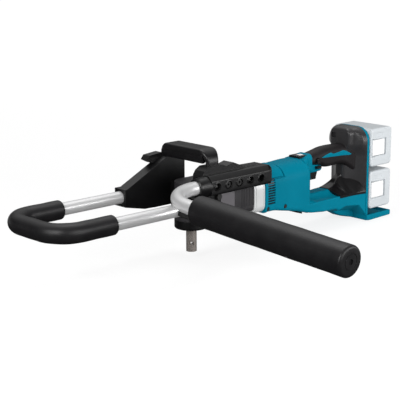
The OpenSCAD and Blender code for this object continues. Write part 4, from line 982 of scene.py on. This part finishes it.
# %% Grooved collar, ring and plate
x = np.linspace(104.0, 141.0, 90)[:, None]
grooves = sum(pad(place - 0.9, place + 0.9, 0.6, x) for place in (110.0, 118.0, 126.0, 134.0))
y, z, out_y, out_z = rounded_section(
    np.full(len(x), -42.6), 42.6, 65.4, 148.2, (20.0, 20.0, 26.0, 26.0), runs=[10] * 4, arcs=[14] * 4)
collar_relief = -1.5 * grooves - dome(1.5, 105.5 - x)
put("gear_case_collar", [shell(loft_x(x, y + out_y * collar_relief, z + out_z * collar_relief))], "machine",
    "gear_case_casting", ["gear_case"])

x = np.linspace(141.0, 173.0, 80)[:, None]
y, z, out_y, out_z = rounded_section(
    np.full(len(x), -43.8), 43.8, 58.2, 143.8, (18.0, 18.0, 34.0, 34.0), runs=[10] * 4,
    arcs=(16, 16, 20, 20))
ring_relief = -1.4 * pad(145.0, 147.0, 0.6, x) - 0.8 * pad(168.0, 169.4, 0.5, x) - dome(1.2, 142.2 - x)
put("bright_ring", [shell(loft_x(x, y + out_y * ring_relief, z + out_z * ring_relief))], "machine",
    "bright_alloy", ["case_ring"])

plate_in = np.array([0.0, 0.0, 0.0, 0.15, 0.5, 1.2, 12.0])
plate_y = np.array([-40.0, -42.2, -42.8, -43.2, -43.4, -43.5, -43.5])
px, pz, _, _ = rounded_section(
    2.0 + plate_in, 83.0 - plate_in, 82.0 + plate_in, 120.0 - plate_in, [3.0] * 4,
    runs=(20, 12, 20, 12), arcs=[6] * 4)
put("bare_plate", [shell(loft_y(px, plate_y, pz))], "machine", "grey_button", ["gear_case"])

# %% [markdown]
# ## Clamp details
# The clamp's mouth flares to a collar round the bar, and its holes have raised rims. Both are turned parts:
# a profile of radius against length, spun about an axis. The cap on its back end is a loft that rounds off.

# %% Turned parts
def turned(profile, origin, axis, columns=48):
    """A profile of (length, radius) spun about an axis: origin + length * axis + radius * circle."""
    profile = np.array(profile, float)
    axis = np.array(axis, float)
    first = np.cross(axis, [0.0, 0.0, 1.0]) if abs(axis[2]) < 0.9 else np.array([1.0, 0.0, 0.0])
    second = np.cross(axis, first)
    angle = np.linspace(0.0, 2 * np.pi, columns, endpoint=False)[None, :, None]
    length, radius = profile[:, 0, None, None], profile[:, 1, None, None]
    return np.array(origin) + length * axis + radius * (np.cos(angle) * first + np.sin(angle) * second)


CLAMP_HOLES, CLAMP_FACE = (-4.0, 27.0, 58.0, 89.0, 120.0), -83.0
mouth = [(-45.0, 14.1), (-46.0, 14.6), (-46.2, 16.5), (-45.0, 18.2), (-40.0, 19.0), (-30.0, 20.0),
         (-22.0, 21.4), (-17.0, 21.8), (-14.0, 21.0), (-14.0, 14.1)]
put("clamp_mouth", [shell(turned(mouth, (0, BAR_Y, BAR_Z), (1, 0, 0)), loop=True)], "machine",
    "bracket_casting", ["bar_clamp"])
hole_rim = [(0.4, 7.4), (-1.2, 7.5), (-1.8, 8.1), (-1.6, 9.0), (0.4, 9.8)]
rims = [shell(turned(hole_rim, (hole_x, CLAMP_FACE, BAR_Z), (0, 1, 0), 40), loop=True)
        for hole_x in CLAMP_HOLES]
put("clamp_hole_rims", rims, "machine", "bracket_casting", ["bar_clamp"])
cap_turn = np.radians(np.linspace(0.0, 90.0, 14))
cap_in = 10.0 * (1 - np.cos(cap_turn))
y, z, _, _ = rounded_section(
    cap_in - 82.8, -50.0, 132.2 + cap_in, 170.8 - 1.3 * cap_in, (5.0, 2.0, 2.0, 10.0), arcs=(10, 6, 6, 14))
cap_x = (149.5 + 8.0 * np.sin(cap_turn))[:, None]
put("clamp_end_cap", [shell(loft_x(cap_x, y, z))], "machine", "bracket_casting", ["bar_clamp"])
root_r = BAR_R + 0.02
root = turned([(-16.0, root_r), (BAR_INNER, root_r)], (0, BAR_Y, BAR_Z), (1, 0, 0))
put("reaction_bar_root", [shell(root)], "machine", "bracket_casting", ["reaction_bar_tube"])

# %% [markdown]
# ## Trigger
# The trigger is a blade that slides into the housing. Its finger side is hollowed along its length. It rides
# on its own body.

# %% Trigger blade
z = np.concatenate([np.linspace(96.0, 98.0, 8), np.linspace(98.4, 113.6, 24), np.linspace(113.7, 114.0, 3)])
blade_end = line([(96, 377), (101, 376.5), (106, 379), (114, 381)], z, 2.0) - dome(2.0, 98.0 - z)
blade_half = 8.8 - dome(2.0, 98.0 - z)
px, py, _, _ = rounded_section(
    np.full(len(z), 336.0), blade_end, -blade_half, blade_half, (1.0, 4.0, 4.0, 1.0), runs=(10, 6, 10, 6),
    arcs=(4, 8, 8, 4))
put("trigger_blade", [shell(np.stack([px, py, np.broadcast_to(z[:, None], px.shape)], axis=-1))], "trigger",
    "black_plastic", ["trigger"])
